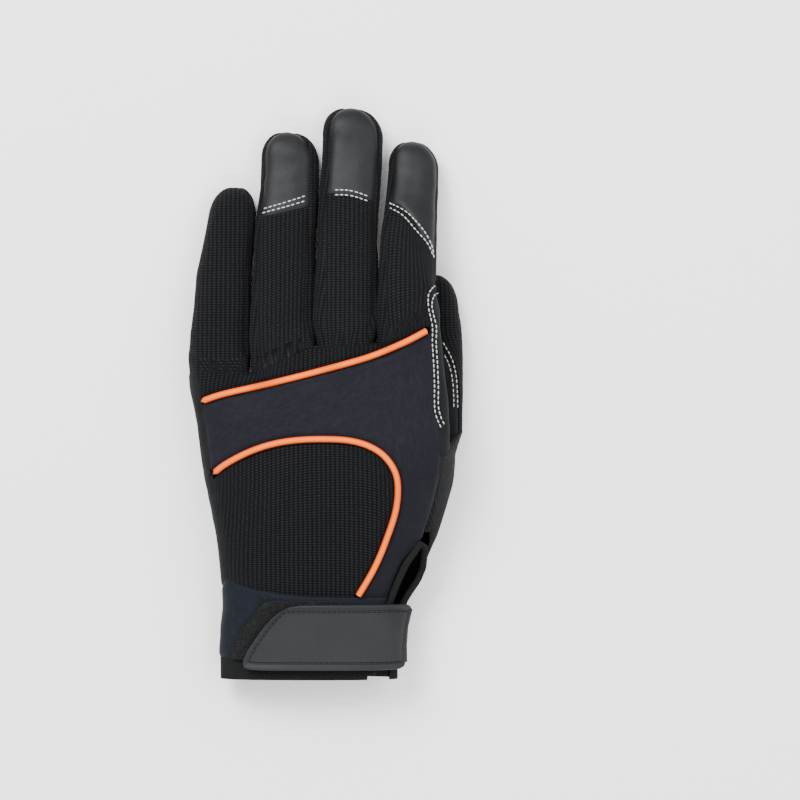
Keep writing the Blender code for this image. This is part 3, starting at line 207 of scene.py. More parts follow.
def follow(rows: Sequence[Sequence[float]], at: float) -> list[float]:
    """Reads a table on a smooth curve through its rows.

    Args:
        rows: Rows whose first column rises.
        at: The place in the first column.

    Returns:
        The other columns there.
    """
    keys = [row[0] for row in rows]
    if keys[0] > keys[-1]:
        raise ValueError("a table's first column rises")
    at = min(max(at, keys[0]), keys[-1])
    i = max(k for k in range(len(keys) - 1) if keys[k] <= at)
    span = keys[i + 1] - keys[i]
    t = (at - keys[i]) / span
    values = []
    for column in range(1, len(rows[0])):
        here, there = rows[i][column], rows[i + 1][column]
        slope_in = slope_out = (there - here) / span
        if i > 0:
            slope_in = (there - rows[i - 1][column]) / (keys[i + 1] - keys[i - 1])
        if i + 2 < len(rows):
            slope_out = (rows[i + 2][column] - here) / (keys[i + 2] - keys[i])
        values.append(
            here * (2 * t**3 - 3 * t**2 + 1)
            + there * (3 * t**2 - 2 * t**3)
            + span * slope_in * (t**3 - 2 * t**2 + t)
            + span * slope_out * (t**3 - t**2)
        )
    return values


def signed_power(value: float, power: float) -> float:
    """Raises a value to a power and keeps its sign, for superellipses."""
    return math.copysign(abs(value) ** power, value)


def corrected(point_at: Callable[[float], Vector], start: Vector, end: Vector, share: float) -> Vector:
    """Shifts a strip of a section's skin so that its two edges meet the neighbours' edges.

    Args:
        point_at: The strip's own points, from 0 to 1.
        start: Where its first edge should lie.
        end: Where its last edge should lie.
        share: The place across it.

    Returns:
        The shifted point.
    """
    shift_start = start - point_at(0.0)
    shift_end = end - point_at(1.0)
    return point_at(share) + mix(shift_start, shift_end, share)


def stop_rows(rows: Sequence[Row]) -> Callable[[float], Row]:
    """Lets a grid's share pick from a list, one entry a row."""
    return lambda share: rows[round(share * (len(rows) - 1))]


def smooth_line(points: Sequence[tuple[float, float]], spacing: float) -> list[Vector]:
    """Samples a smooth curve through plan points.

    Args:
        points: The points, in metres.
        spacing: About how far apart the samples lie.

    Returns:
        The samples.
    """
    rows = []
    reach = 0.0
    for i, point in enumerate(points):
        if i:
            reach += (Vector(point) - Vector(points[i - 1])).length
        rows.append((reach, *point))
    count = max(int(reach / spacing), 2)
    return [Vector(follow(rows, reach * i / count)) for i in range(count + 1)]


# Finishes


def linear_colour(colour: str) -> tuple[float, float, float, float]:
    """Turns an sRGB hex colour to linear.

    Args:
        colour: The colour, such as "#8c8e8d".

    Returns:
        Linear red, green, blue and alpha.
    """
    channels = (int(colour[i : i + 2], 16) / 255 for i in (1, 3, 5))
    return (*(c / 12.92 if c <= 0.04045 else ((c + 0.055) / 1.055) ** 2.4 for c in channels), 1.0)


def add_node(tree: bpy.types.NodeTree, kind: str, inputs: dict[str | int, Any], **settings: Any) -> bpy.types.Node:
    """Adds a node with its settings, its values and the sockets that feed it.

    Args:
        tree: The material's nodes.
        kind: The node's type.
        inputs: For each of its sockets, a value or the socket that feeds it.
        settings: Its other settings.

    Returns:
        The node.
    """
    node = tree.nodes.new(kind)
    for key, value in settings.items():
        setattr(node, key, value)
    for key, value in inputs.items():
        if isinstance(value, bpy.types.NodeSocket):
            tree.links.new(value, node.inputs[key])
        else:
            node.inputs[key].default_value = value
    return node


def per_metre(millimetres: float) -> float:
    """Turns the real size of a grain or thread into a pattern's scale."""
    return 1000 / millimetres


@dataclass(frozen=True)
class Finish:
    """A material: its dark and light colour, its gloss, and a pattern that each kind of finish adds."""

    name: str
    dark: str
    light: str
    roughness: float
    specular: float = 0.5
    sheen: float = 0.0
    sheen_roughness: float = 0.5

    @cache
    def material(self) -> bpy.types.Material:
        """Builds the material once.

        Returns:
            The material.
        """
        made = bpy.data.materials.new(self.name)
        made.use_nodes = True
        tree = made.node_tree
        shader = tree.nodes["Principled BSDF"]
        shader.inputs["Roughness"].default_value = self.roughness
        shader.inputs["Specular IOR Level"].default_value = self.specular
        shader.inputs["Sheen Weight"].default_value = self.sheen
        shader.inputs["Sheen Roughness"].default_value = self.sheen_roughness
        self.pattern(tree, shader)
        return made

    def pattern(self, tree: bpy.types.NodeTree, shader: bpy.types.Node) -> None:
        """Leaves the surface one plain colour."""
        shader.inputs["Base Color"].default_value = linear_colour(self.light)

    def dress(
        self,
        tree: bpy.types.NodeTree,
        shader: bpy.types.Node,
        tone: bpy.types.NodeSocket,
        relief: bpy.types.NodeSocket | None = None,
        depth: float = 0.0,
        strength: float = 1.0,
    ) -> None:
        """Joins a pattern's tone and relief to the shader.

        Args:
            tree: The material's nodes.
            shader: Its shader.
            tone: 0 where the surface is dark, 1 where it is light.
            relief: The surface's height, from 0 to 1.
            depth: How deep the relief is, in millimetres.
            strength: How strongly the relief shows.
        """
        blend = add_node(tree, "ShaderNodeMix", {}, data_type="RGBA")
        colour_in = [socket for socket in blend.inputs if socket.type == "RGBA"]
        tree.links.new(tone, blend.inputs["Factor"])
        colour_in[0].default_value = linear_colour(self.dark)
        colour_in[1].default_value = linear_colour(self.light)
        colour_out = next(socket for socket in blend.outputs if socket.type == "RGBA")
        tree.links.new(colour_out, shader.inputs["Base Color"])
        if relief and depth:
            bump = add_node(
                tree, "ShaderNodeBump", {"Height": relief, "Distance": depth / 1000, "Strength": strength}
            )
            tree.links.new(bump.outputs["Normal"], shader.inputs["Normal"])


@dataclass(frozen=True)
class RibbedKnit(Finish):
    """Knitted polyester and elastane: rows of small raised cells of dark yarn, with painted shade in the gaps between
    them, which look dotted from afar.

    The real stitches are about 1 mm; the cells are drawn 2 by 1.15 mm, so that they show in the render.
    """

    cell_width: float = 2.0
    cell_length: float = 1.15
    fleck: float = 1.1
    drift_size: float = 4.55
    drift: float = 0.4
    depth: float = 0.4

    def pattern(self, tree: bpy.types.NodeTree, shader: bpy.types.Node) -> None:
        """Draws the cells along the cloth's own coordinates, with painted shade in the gaps and lighter crowns.

        Args:
            tree: The material's nodes.
            shader: Its shader.
        """
        cloth = add_node(tree, "ShaderNodeAttribute", {}, attribute_name="weave").outputs["Vector"]
        drift = add_node(tree, "ShaderNodeTexNoise", {"Vector": cloth, "Scale": per_metre(self.drift_size)})
        moved = add_node(
            tree,
            "ShaderNodeVectorMath",
            {0: drift.outputs["Color"], 1: (self.drift / 1000,) * 3, 2: cloth},
            operation="MULTIPLY_ADD",
        )
        place = add_node(tree, "ShaderNodeSeparateXYZ", {"Vector": moved.outputs[0]})
        waves = []
        for axis, size, power in (("X", self.cell_width, 0.7), ("Y", self.cell_length, 0.8)):
            turns = add_node(
                tree, "ShaderNodeMath", {0: place.outputs[axis], 1: math.pi * per_metre(size)}, operation="MULTIPLY"
            )
            wave = add_node(tree, "ShaderNodeMath", {0: turns.outputs[0]}, operation="SINE")
            hump = add_node(tree, "ShaderNodeMath", {0: wave.outputs[0]}, operation="ABSOLUTE")
            full = add_node(tree, "ShaderNodeMath", {0: hump.outputs[0], 1: power}, operation="POWER")
            waves.append(full.outputs[0])
        cell = add_node(tree, "ShaderNodeMath", {0: waves[0], 1: waves[1]}, operation="MULTIPLY").outputs[0]
        # Painted shade: the colour follows the cells' height, darkest in the gaps; the flecks are the yarn's own
        # unevenness
        crown = add_node(tree, "ShaderNodeMath", {0: cell, 1: 2.2}, operation="POWER")
        fleck = add_node(tree, "ShaderNodeTexNoise", {"Vector": cloth, "Scale": per_metre(self.fleck)})
        fleck_tone = add_node(tree, "ShaderNodeMath", {0: fleck.outputs["Fac"], 1: 0.1}, operation="ADD")
        tone = add_node(tree, "ShaderNodeMath", {0: crown.outputs[0], 1: fleck_tone.outputs[0]}, operation="MULTIPLY")
        self.dress(tree, shader, tone.outputs[0], cell, self.depth, 0.8)


@dataclass(frozen=True)
class JerseyFoam(Finish):
    """Neoprene foam with a jersey face: even, nearly smooth, a fine grain of stitches with a faint mottle."""

    stitch: float = 0.55
    mottle: float = 4.0
    depth: float = 0.08

    def pattern(self, tree: bpy.types.NodeTree, shader: bpy.types.Node) -> None:
        """Draws the jersey's stitches along the cloth's own coordinates.

        Args:
            tree: The material's nodes.
            shader: Its shader.
        """
        cloth = add_node(tree, "ShaderNodeAttribute", {}, attribute_name="weave").outputs["Vector"]
        stitch = add_node(tree, "ShaderNodeTexVoronoi", {"Vector": cloth, "Scale": per_metre(self.stitch)})
        mottle = add_node(tree, "ShaderNodeTexNoise", {"Vector": cloth, "Scale": per_metre(self.mottle)})
        tone = add_node(
            tree, "ShaderNodeMath", {0: stitch.outputs["Distance"], 1: mottle.outputs["Fac"]}, operation="MULTIPLY"
        )
        self.dress(tree, shader, tone.outputs[0], stitch.outputs["Distance"], self.depth, 0.6)


@dataclass(frozen=True)
class BrushedSuede(Finish):
    """Brushed microfibre suede: matt, with a short nap that lies darker and lighter in soft patches."""

    nap: float = 0.4
    patch: float = 8.0
    depth: float = 0.2

    def pattern(self, tree: bpy.types.NodeTree, shader: bpy.types.Node) -> None:
        """Draws the nap and its patches.

        Args:
            tree: The material's nodes.
            shader: Its shader.
        """
        place = add_node(tree, "ShaderNodeTexCoord", {}).outputs["Object"]
        nap = add_node(tree, "ShaderNodeTexNoise", {"Vector": place, "Scale": per_metre(self.nap), "Detail": 4.0})
        patch = add_node(tree, "ShaderNodeTexNoise", {"Vector": place, "Scale": per_metre(self.patch)})
        tone = add_node(
            tree, "ShaderNodeMath", {0: nap.outputs["Fac"], 1: patch.outputs["Fac"]}, operation="MULTIPLY"
        )
        self.dress(tree, shader, tone.outputs[0], nap.outputs["Fac"], self.depth, 0.6)


@dataclass(frozen=True)
class CoatedLeather(Finish):
    """Pressed, coated synthetic leather: smooth with a fine pebble, a soft shine and rubbed lighter patches."""

    pebble: float = 0.8
    pore: float = 0.3
    rub: float = 9.0
    depth: float = 0.12

    def pattern(self, tree: bpy.types.NodeTree, shader: bpy.types.Node) -> None:
        """Draws the pebbles, the pores and the rubbed patches.

        Args:
            tree: The material's nodes.
            shader: Its shader.
        """
        place = add_node(tree, "ShaderNodeTexCoord", {}).outputs["Object"]
        pebble = add_node(
            tree, "ShaderNodeTexVoronoi", {"Vector": place, "Scale": per_metre(self.pebble)}, feature="SMOOTH_F1"
        )
        pore = add_node(tree, "ShaderNodeTexNoise", {"Vector": place, "Scale": per_metre(self.pore)})
        rub = add_node(tree, "ShaderNodeTexNoise", {"Vector": place, "Scale": per_metre(self.rub), "Detail": 3.0})
        relief = add_node(
            tree, "ShaderNodeMath", {0: pebble.outputs["Distance"], 1: pore.outputs["Fac"]}, operation="ADD"
        )
        self.dress(tree, shader, rub.outputs["Fac"], relief.outputs[0], self.depth, 0.5)


@dataclass(frozen=True)
class SatinPiping(Finish):
    """Dyed orange polyester satin drawn over a cord, with painted light: bright where it faces up and a painted shade
    of deep red-orange down its sides.
    """

    weave: float = 0.3
    depth: float = 0.06

    def pattern(self, tree: bpy.types.NodeTree, shader: bpy.types.Node) -> None:
        """Paints light on the satin's top and shade down its sides, and gives it a fine weave.

        Args:
            tree: The material's nodes.
            shader: Its shader.
        """
        place = add_node(tree, "ShaderNodeTexCoord", {}).outputs["Object"]
        # Painted light: the colour follows how far the surface faces up, light on top and painted shade down the sides
        facing = add_node(tree, "ShaderNodeNewGeometry", {}).outputs["Normal"]
        upwards = add_node(tree, "ShaderNodeSeparateXYZ", {"Vector": facing}).outputs["Z"]
        above = add_node(tree, "ShaderNodeMath", {0: upwards, 1: 0.0}, operation="MAXIMUM")
        tone = add_node(tree, "ShaderNodeMath", {0: above.outputs[0], 1: 2.0}, operation="POWER")
        weave = add_node(tree, "ShaderNodeTexNoise", {"Vector": place, "Scale": per_metre(self.weave)})
        self.dress(tree, shader, tone.outputs[0], weave.outputs["Fac"], self.depth, 0.5)


@dataclass(frozen=True)
class Grained(Finish):
    """A surface with one grain, whose tone and relief may be of different sizes."""

    grain: float = 0.5
    detail: float = 3.0
    relief: float = 0.5
    relief_detail: float = 3.0
    depth: float = 0.3
    strength: float = 0.7

    def pattern(self, tree: bpy.types.NodeTree, shader: bpy.types.Node) -> None:
        """Draws the grain's tone and its relief.

        Args:
            tree: The material's nodes.
            shader: Its shader.
        """
        place = add_node(tree, "ShaderNodeTexCoord", {}).outputs["Object"]
        found = []
        for size, detail in ((self.grain, self.detail), (self.relief, self.relief_detail)):
            grain = add_node(
                tree, "ShaderNodeTexNoise", {"Vector": place, "Scale": per_metre(size), "Detail": detail}
            )
            found.append(grain.outputs["Fac"])
        self.dress(tree, shader, found[0], found[1], self.depth, self.strength)


@dataclass(frozen=True)
class LoopPile(Finish):
    """Napped nylon loop fabric: a dull black fuzz, with painted shade in the hollows between its loops."""

    loop: float = 0.6
    depth: float = 0.6

    def pattern(self, tree: bpy.types.NodeTree, shader: bpy.types.Node) -> None:
        """Draws the loops, with painted shade in the hollows between them.

        Args:
            tree: The material's nodes.
            shader: Its shader.
        """
        place = add_node(tree, "ShaderNodeTexCoord", {}).outputs["Object"]
        loop = add_node(tree, "ShaderNodeTexVoronoi", {"Vector": place, "Scale": per_metre(self.loop)})
        # Painted shade: the same cells that give the relief darken the colour where it is low
        self.dress(tree, shader, loop.outputs["Distance"], loop.outputs["Distance"], self.depth)


# Black knit: its darkest colour is partly the yarn's own and partly painted shade in the gaps between the cells
KNIT = RibbedKnit("ribbed_knit", "#020203", "#24262a", 0.85, 0.1, 0.015)
NEOPRENE = JerseyFoam("neoprene", "#06060a", "#1b1c28", 0.75, 0.14, 0.02)
# The cuff's foam has a cooler, bluer dye
CUFF_NEOPRENE = JerseyFoam("cuff_neoprene", "#05070c", "#161d2a", 0.75, 0.14, 0.02)
SUEDE = BrushedSuede("brushed_suede", "#050606", "#26292c", 0.95, 0.08, 0.03, 0.6)
LEATHER = CoatedLeather("coated_leather", "#07080a", "#111315", 0.5, 0.2)
# The pads' leather is stretched over stuffing, a little greyer and shinier
PAD_LEATHER = CoatedLeather("pad_leather", "#0e0f12", "#191a1f", 0.45, 0.2)
# Orange piping: the light colour is the satin lit from above, the dark colour a painted shade for the sides that turn
# away
PIPING_SATIN_PAINTED_SHADE = SatinPiping("piping_satin", "#b02600", "#f07000", 0.5, 0.2)
# Woven polyester tape: dull, with fine ribs that leave it speckled black and dark grey
TAPE = Grained("woven_tape", "#020202", "#1e1f1f", 0.9, 0.1)
# Loop pile: black, with painted shade in the hollows between its loops
PILE = LoopPile("loop_pile", "#040404", "#1e1f20", 0.95, 0.1, 0.04, 0.7)
# Moulded thermoplastic rubber: even dark grey, with a faint cloudiness and a skin as fine as the mould's
RUBBER = Grained(
    "moulded_rubber", "#151619", "#1d1f22", 0.55, 0.22,
    grain=12.0, relief=0.2, relief_detail=2.0, depth=0.04, strength=0.4,
)
# Spun polyester thread: pale grey, a little uneven along its twist
THREAD = Grained("pale_thread", "#8c8e8d", "#c6c8c6", 0.6, grain=0.4, detail=2.0, depth=0.0)
DARK_THREAD = Grained("black_thread", "#050505", "#121313", 0.6, grain=0.4, detail=2.0, depth=0.0)
# Matt white paper under the glove
FLOOR_PAPER = Finish("paper", "#ffffff", "#ffffff", 0.9)


# The glove's skin


@dataclass(frozen=True, eq=False)
class Skin:
    """The surface that every panel is cut from: sections of the hand, the fingers and the thumb."""

    palm_length: float = 0.1445
    hand_width: float = 0.109
    hand_thickness: float = 0.025
    finger_thickness: float = 0.0175
    thumb_length: float = 0.074
    thumb_thickness: float = 0.0190
    thumb_width: float = 0.0275
    thumb_clearance: float = 0.0008
    pad_thickness: float = 0.0026
    pad_seat: float = 0.0006
    flattening: float = 0.0006
    # Sections are superellipses of this power
    section_power: float = 2.5
    palm_seam: float = 0.93
    knuckle_blend: float = 0.022
    root_blending: float = 0.014
    root_step: float = 0.006
    tip_rounding: float = 0.0130
    tip_power: float = 2.3
    # Rows that round a tip off, as shares of tip_rounding
    tip_steps: tuple[float, ...] = tuple(math.sin(math.radians(turn)) for turn in range(0, 85, 6))
    arch_drop: float = 0.34
    # The hand's cross-sections, from the hem to the fingers
    hand_sections: tuple[HandSection, ...] = (
        HandSection(0.000, -0.415, 0.306, -0.35, 0.00, 1.08),
        HandSection(0.140, -0.414, 0.307, -0.35, 0.00, 1.08),
        HandSection(0.235, -0.404, 0.339, -0.10, 0.00, 1.10),
        HandSection(0.305, -0.409, 0.390, 0.50, 0.02, 1.14),
        HandSection(0.415, -0.425, 0.431, 1.00, 0.14, 1.20),
        HandSection(0.519, -0.450, 0.463, 1.00, 0.42, 1.20),
        HandSection(0.623, -0.477, 0.495, 1.00, 0.83, 1.12),
        HandSection(0.706, -0.495, 0.505, 1.00, 1.00, 1.04),
        HandSection(0.796, -0.514, 0.500, 1.05, 1.00, 1.00),
        HandSection(0.907, -0.538, 0.486, 1.20, 1.01, 0.96),
        HandSection(1.060, -0.547, 0.468, 1.60, 1.01, 0.90),
    )
    # The seam where the back meets the thumb side
    radial_seam: tuple[SeamPoint, ...] = (
        SeamPoint(0.430, 0.400),
        SeamPoint(0.540, 0.444),
        SeamPoint(0.637, 0.466),
        SeamPoint(0.740, 0.470),
        SeamPoint(0.830, 0.446),
        SeamPoint(0.950, 0.438),
        SeamPoint(1.087, 0.430),
    )
    fingers: tuple[Finger, ...] = (
        Finger("pinky", 0.0820, 0.920, (1.00, 1.00), 0.66, 0.93, 0.86, (
            FingerSection(0.00, -0.420, 0.252, 0.30, 1.10),
            FingerSection(0.28, -0.408, 0.234, 0.24, 1.00),
            FingerSection(0.52, -0.397, 0.220, 0.12, 0.97),
            FingerSection(0.84, -0.366, 0.192, 0.00, 0.92),
            FingerSection(1.00, -0.354, 0.180, 0.00, 0.90),
        )),
        Finger("ring", 0.0985, 0.970, (0.64, 0.65), 0.66, 0.87, 0.72, (
            FingerSection(0.00, -0.158, 0.238, 0.66, 1.18),
            FingerSection(0.25, -0.156, 0.246, 0.50, 1.03),
            FingerSection(0.50, -0.152, 0.248, 0.24, 1.00),
            FingerSection(0.84, -0.134, 0.234, 0.00, 0.95),
            FingerSection(1.00, -0.140, 0.224, 0.00, 0.93),
        )),
        Finger("middle", 0.1045, 1.000, (0.64, 0.60), 0.67, 0.76, 0.84, (
            FingerSection(0.00, 0.101, 0.238, 0.90, 1.24),
            FingerSection(0.25, 0.100, 0.240, 0.72, 1.06),
            FingerSection(0.50, 0.099, 0.241, 0.36, 1.00),
            FingerSection(0.84, 0.119, 0.243, 0.00, 0.97),
            FingerSection(1.00, 0.110, 0.236, 0.00, 0.95),
        )),
        Finger("index", 0.0870, 1.020, (0.69, 0.31), 0.62, 0.82, 0.95, (
            FingerSection(0.00, 0.350, 0.216, 1.02, 1.20),
            FingerSection(0.24, 0.340, 0.222, 1.00, 1.04),
            FingerSection(0.50, 0.342, 0.222, 0.62, 1.00),
            FingerSection(0.84, 0.361, 0.200, 0.03, 0.95),
            FingerSection(1.00, 0.352, 0.200, 0.00, 0.93),
        )),
    )
    # Where the seams of the three forks start
    forks: tuple[Fork, ...] = (
        Fork("pinky_ring", -0.313, -0.263, 0.922),
        Fork("ring_middle", -0.046, 0.002, 0.997),
        Fork("middle_index", 0.178, 0.246, 1.006),
    )
    ulnar_limit: float = -0.550
    radial_limit: float = 0.475
    thumb_sections: tuple[ThumbSection, ...] = (
        ThumbSection(0.00, 0.428, 1.05, 0.92),
        ThumbSection(0.25, 0.430, 1.03, 1.00),
        ThumbSection(0.60, 0.434, 0.98, 1.00),
        ThumbSection(0.85, 0.434, 0.84, 0.92),
        ThumbSection(1.00, 0.436, 0.74, 0.84),
    )
    thumb_fork: float = 0.706
    thumb_base: float = 0.305
    saddle_foot: float = 0.671
    saddle_turn: float = 0.035
    saddle_split: float = 0.55
    saddle_web: float = 0.05
    saddle_slant: float = 2.2
    # The palm panel's edge on the thumb side
    palm_edge: tuple[SeamPoint, ...] = (
        SeamPoint(0.200, 0.250),
        SeamPoint(0.420, 0.235),
        SeamPoint(0.600, 0.262),
        SeamPoint(0.706, 0.312),
        SeamPoint(0.900, 0.372),
        SeamPoint(1.087, 0.428),
    )
    index_root_end: float = 1.087
    saddle_top: float = 1.190
    # The thumb's seams: share of thumb_length, section angle in degrees
    thumb_top_seam: tuple[tuple[float, float], ...] = (
        (0.0, 30), (0.25, 36), (0.45, 52), (0.58, 95), (0.66, 126), (0.75, 130), (1.0, 130)
    )
    thumb_inner_seam: tuple[tuple[float, float], ...] = ((0.0, 140), (0.45, 140), (0.66, 130), (1.0, 130))
    thumb_under_angle: float = -80.0
    # The cuff's seam: section angle in degrees over the back and round the palm, share of palm_length
    cuff_seam: tuple[tuple[float, float], ...] = (
        (30, 0.244),
        (90, 0.248),
        (120, 0.266),
        (140, 0.284),
        (155, 0.300),
        (180, 0.275),
        (205, 0.250),
        (230, 0.236),
        (310, 0.236),
        (335, 0.262),
        (360, 0.310),
        (369, 0.335),
        (384.4, 0.430),
    )
    # The slit's left edge, and the section angles in degrees of its right edge at the hem and the seam
    slit_left: tuple[SeamPoint, ...] = (
        SeamPoint(0.000, 0.196),
        SeamPoint(0.090, 0.216),
        SeamPoint(0.240, 0.272),
        SeamPoint(0.344, 0.330),
        SeamPoint(0.400, 0.380),
    )
    slit_top: float = 0.430
    slit_foot: float = 0.335
    slit_ease_angle: float = 5.0
    slit_right_hem: float = 395.0
    slit_right_seam: float = 369.0
    slit_limit: float = 0.985
    settling: int = 6
    finger_rows: int = 46

    @cached_property
    def radial_lift(self) -> float:
        """Measures how high the folded thumb lifts the hand's thumb side."""
        return self.thumb_thickness + self.thumb_clearance

    @cached_property
    def pad_lift(self) -> float:
        """Measures how high the palm's pads lift the hand."""
        return self.pad_thickness + self.pad_seat

    @cached_property
    def root_rows(self) -> list[tuple[float, float, float]]:
        """Lists the finger roots: centre as a share of hand_width, middle height and thickness in metres."""
        rows = []
        for finger in self.fingers:
            root = finger.sections[0]
            thickness = root.thickness * self.finger_thickness
            rows.append((root.centre, root.lift * self.radial_lift + thickness / 2, thickness))
        return rows

    def plan(self, across: float, along: float) -> Vector:
        """Turns shares of the hand's width and the palm's length into a plan point."""
        return Vector((across * self.hand_width, along * self.palm_length))

    def plan_curve(self, points: Sequence[SeamPoint], share: float) -> Vector:
        """Finds a place in plan on a smooth curve through seam points.

        Args:
            points: The seam.
            share: Share of the way along its points.

        Returns:
            The plan point.
        """
        rows = []
        for i, point in enumerate(points):
            rows.append((i / (len(points) - 1), *self.plan(point.across, point.along)))
        x, y = follow(rows, share)
        return Vector((x, y))

    def offset_curve(self, points: Sequence[SeamPoint], share: float, distance: float) -> Vector:
        """Finds a place beside a seam in plan.

        Args:
            points: The seam.
            share: Share of the way along its points.
            distance: How far to its left it lies.

        Returns:
            The plan point.
        """
        step = 0.01
        ahead = self.plan_curve(points, min(share + step, 1.0)) - self.plan_curve(points, max(share - step, 0.0))
        left = Vector((-ahead.y, ahead.x)).normalized()
        return self.plan_curve(points, share) + left * distance

    def angle_at(self, share: float, above: bool = True) -> float:
        """Finds the section angle whose point lies at a share of the half width.

        Args:
            share: From -1 to 1.
            above: Whether it is on the back.

        Returns:
            The angle in radians.
        """
        share = max(-1.0, min(1.0, share))
        angle = math.acos(signed_power(share, self.section_power / 2))
        return angle if above else -angle

    def section_point(self, section: Section, angle: float, y: float) -> Vector:
        """Finds a point of a superellipse section.

        Args:
            section: The section.
            angle: Section angle in radians, from the thumb side up over the back.
            y: Place along the glove, in metres.

        Returns:
            The point.
        """
        x = section.centre + section.half_width * signed_power(math.cos(angle), 2 / self.section_power)
        height = signed_power(math.sin(angle), 2 / self.section_power)
        return Vector((x, y, max(0.0, section.low(x) + section.thickness / 2 * (1 + height))))

    @cache
    def hand_section(self, y: float) -> Section:
        """Reads the hand's section.

        Args:
            y: Place along the glove, in metres.

        Returns:
            The section there.
        """
        left, right, pad, thumb, thick = follow(self.hand_sections, y / self.palm_length)
        left, right = left * self.hand_width, right * self.hand_width

        def low(x: float) -> float:
            """Lifts the section off the table, by the pad on one side and the thumb on the other."""
            share = (x - left) / (right - left)
            return self.pad_lift * pad * (1 - share) + self.radial_lift * thumb * share

        return Section((left + right) / 2, (right - left) / 2, low, thick * self.hand_thickness)

    def hand_point(self, y: float, angle: float) -> Vector:
        """Finds a point of the hand's skin."""
        return self.section_point(self.hand_section(y), angle, y)

    def tip_scale(self, left_over: float) -> float:
        """Finds how far a section has shrunk near a tip."""
        reach = min(max((self.tip_rounding - left_over) / self.tip_rounding, 0.0), self.tip_steps[-1])
        return (1 - reach**self.tip_power) ** (1 / self.tip_power)

    def finger_section(self, finger: Finger, y: float) -> Section:
        """Reads a finger's section, rounded off towards its tip.

        Args:
            finger: The finger.
            y: Place along the glove, in metres.

        Returns:
            The section there.
        """
        along = y - finger.root_along * self.palm_length
        centre, width, lift, thick = follow(finger.sections, along / finger.length)
        scale = self.tip_scale(finger.length - along)
        full = thick * self.finger_thickness
        low = lift * self.radial_lift + full * (1 - scale) / 2 - self.flattening
        return Section(centre * self.hand_width, width * self.hand_width / 2 * scale, lambda x: low, full * scale)

    def finger_point(self, finger: Finger, y: float, angle: float) -> Vector:
        """Finds a point of a finger's skin."""
        return self.section_point(self.finger_section(finger, y), angle, y)

    def section_height(self, section: Section, x: float, side: Face) -> float:
        """Finds the height of a section's skin.

        Args:
            section: The section.
            x: Place across the glove, in metres.
            side: The back or the palm.

        Returns:
            The height above the table.
        """
        share = min(abs((x - section.centre) / section.half_width), 1.0)
        bulge = (1 - share**self.section_power) ** (1 / self.section_power)
        return section.low(x) + section.thickness / 2 * (1 + side * bulge)

    def crotch_along(self, x: float) -> float:
        """Finds how far up the hand's body reaches, along the line through the forks.

        Args:
            x: Place across the glove, in metres.

        Returns:
            The y of that line.
        """
        rows = [(self.hand_sections[-1].left, self.fingers[0].root_along)]
        for fork in self.forks:
            rows += [(fork.left, fork.along), (fork.right, fork.along)]
        rows.append((self.radial_seam[-1].across, self.index_root_end))
        return follow(rows, x / self.hand_width)[0] * self.palm_length

    def arch_height(self, x: float, side: Face) -> float:
        """Finds the height of the row of finger roots, which dips between the fingers.

        Args:
            x: Place across the glove, in metres.
            side: The back or the palm.

        Returns:
            The height above the table.
        """
        edges = [self.ulnar_limit] + [(fork.left + fork.right) / 2 for fork in self.forks] + [self.radial_limit]
        share = min(max(x / self.hand_width, self.ulnar_limit), self.radial_limit)
        index = max(i for i in range(len(self.fingers)) if edges[i] <= share)
        middle = (edges[index] + edges[index + 1]) / 2
        half = (edges[index + 1] - edges[index]) / 2
        dip = (1 - math.cos(math.pi * abs(share - middle) / half)) / 2
        height, thick = follow(self.root_rows, share)
        return height + side * thick / 2 * (1 - self.arch_drop * dip)

    def body_point(self, x: float, y: float, side: Face) -> Vector:
        """Finds the hand's skin over a plan point.

        Args:
            x: Place across the glove, in metres.
            y: Place along the glove, in metres.
            side: The back or the palm.

        Returns:
            The point.
        """
        flat = self.section_height(self.hand_section(y), x, side)
        blend = smooth_step(1 - (self.crotch_along(x) - y) / self.knuckle_blend)
        return Vector((x, y, max(0.0, mix(flat, self.arch_height(x, side), blend))))

    @cache
    def seam_x(self, y: float) -> float:
        """Finds where the back's thumb-side seam crosses."""
        return follow(self.radial_seam, y / self.palm_length)[0] * self.hand_width

    @cache
    def palm_edge_x(self, y: float) -> float:
        """Finds where the palm panel meets the thumb and the saddle patch."""
        return follow(self.palm_edge, y / self.palm_length)[0] * self.hand_width

    def ulnar_x(self, y: float) -> float:
        """Finds where the back's seam on the little finger's side crosses."""
        centre, half_width, _, _ = self.hand_section(y)
        return centre - half_width * self.palm_seam

    def root_along(self, index: int, share: float) -> float:
        """Finds how far up the palm a finger springs from the hand.

        Args:
            index: The finger's number, from the little finger.
            share: Share of the way across, from 0 to 1.

        Returns:
            The share of the palm's length.
        """
        first = self.forks[index - 1].along if index > 0 else self.fingers[0].root_along
        last = self.forks[index].along if index < len(self.forks) else self.index_root_end
        return mix(first, last, share)

    def root_point(self, index: int, share: float, side: Face) -> Vector:
        """Finds the hand's skin where a finger springs from it.

        Args:
            index: The finger's number, from the little finger.
            share: Share of the way across, from 0 to 1.
            side: The back or the palm.

        Returns:
            The point.
        """
        y = self.root_along(index, share) * self.palm_length
        left = self.forks[index - 1].right * self.hand_width if index > 0 else self.ulnar_x(y)
        right = self.forks[index].left * self.hand_width if index < len(self.forks) else self.seam_x(y)
        if side < 0 and index == len(self.forks):
            right = self.palm_edge_x(y)
        return self.body_point(mix(left, right, share), y, side)

    def finger_y(self, index: int, share: float, reach: float) -> float:
        """Turns a reach along a finger into a place along the glove.

        Args:
            index: The finger's number, from the little finger.
            share: Share of the way across, from 0 to 1.
            reach: Share of the way from the finger's root to its tip.

        Returns:
            The y place.
        """
        finger = self.fingers[index]
        tip = finger.root_along * self.palm_length + finger.length
        return mix(self.root_along(index, share) * self.palm_length, tip, reach)

    def root_blend(self, index: int, reach: float) -> float:
        """Finds how far a finger has left the hand's skin for its own."""
        return smooth_step(reach * self.fingers[index].length / self.root_blending)

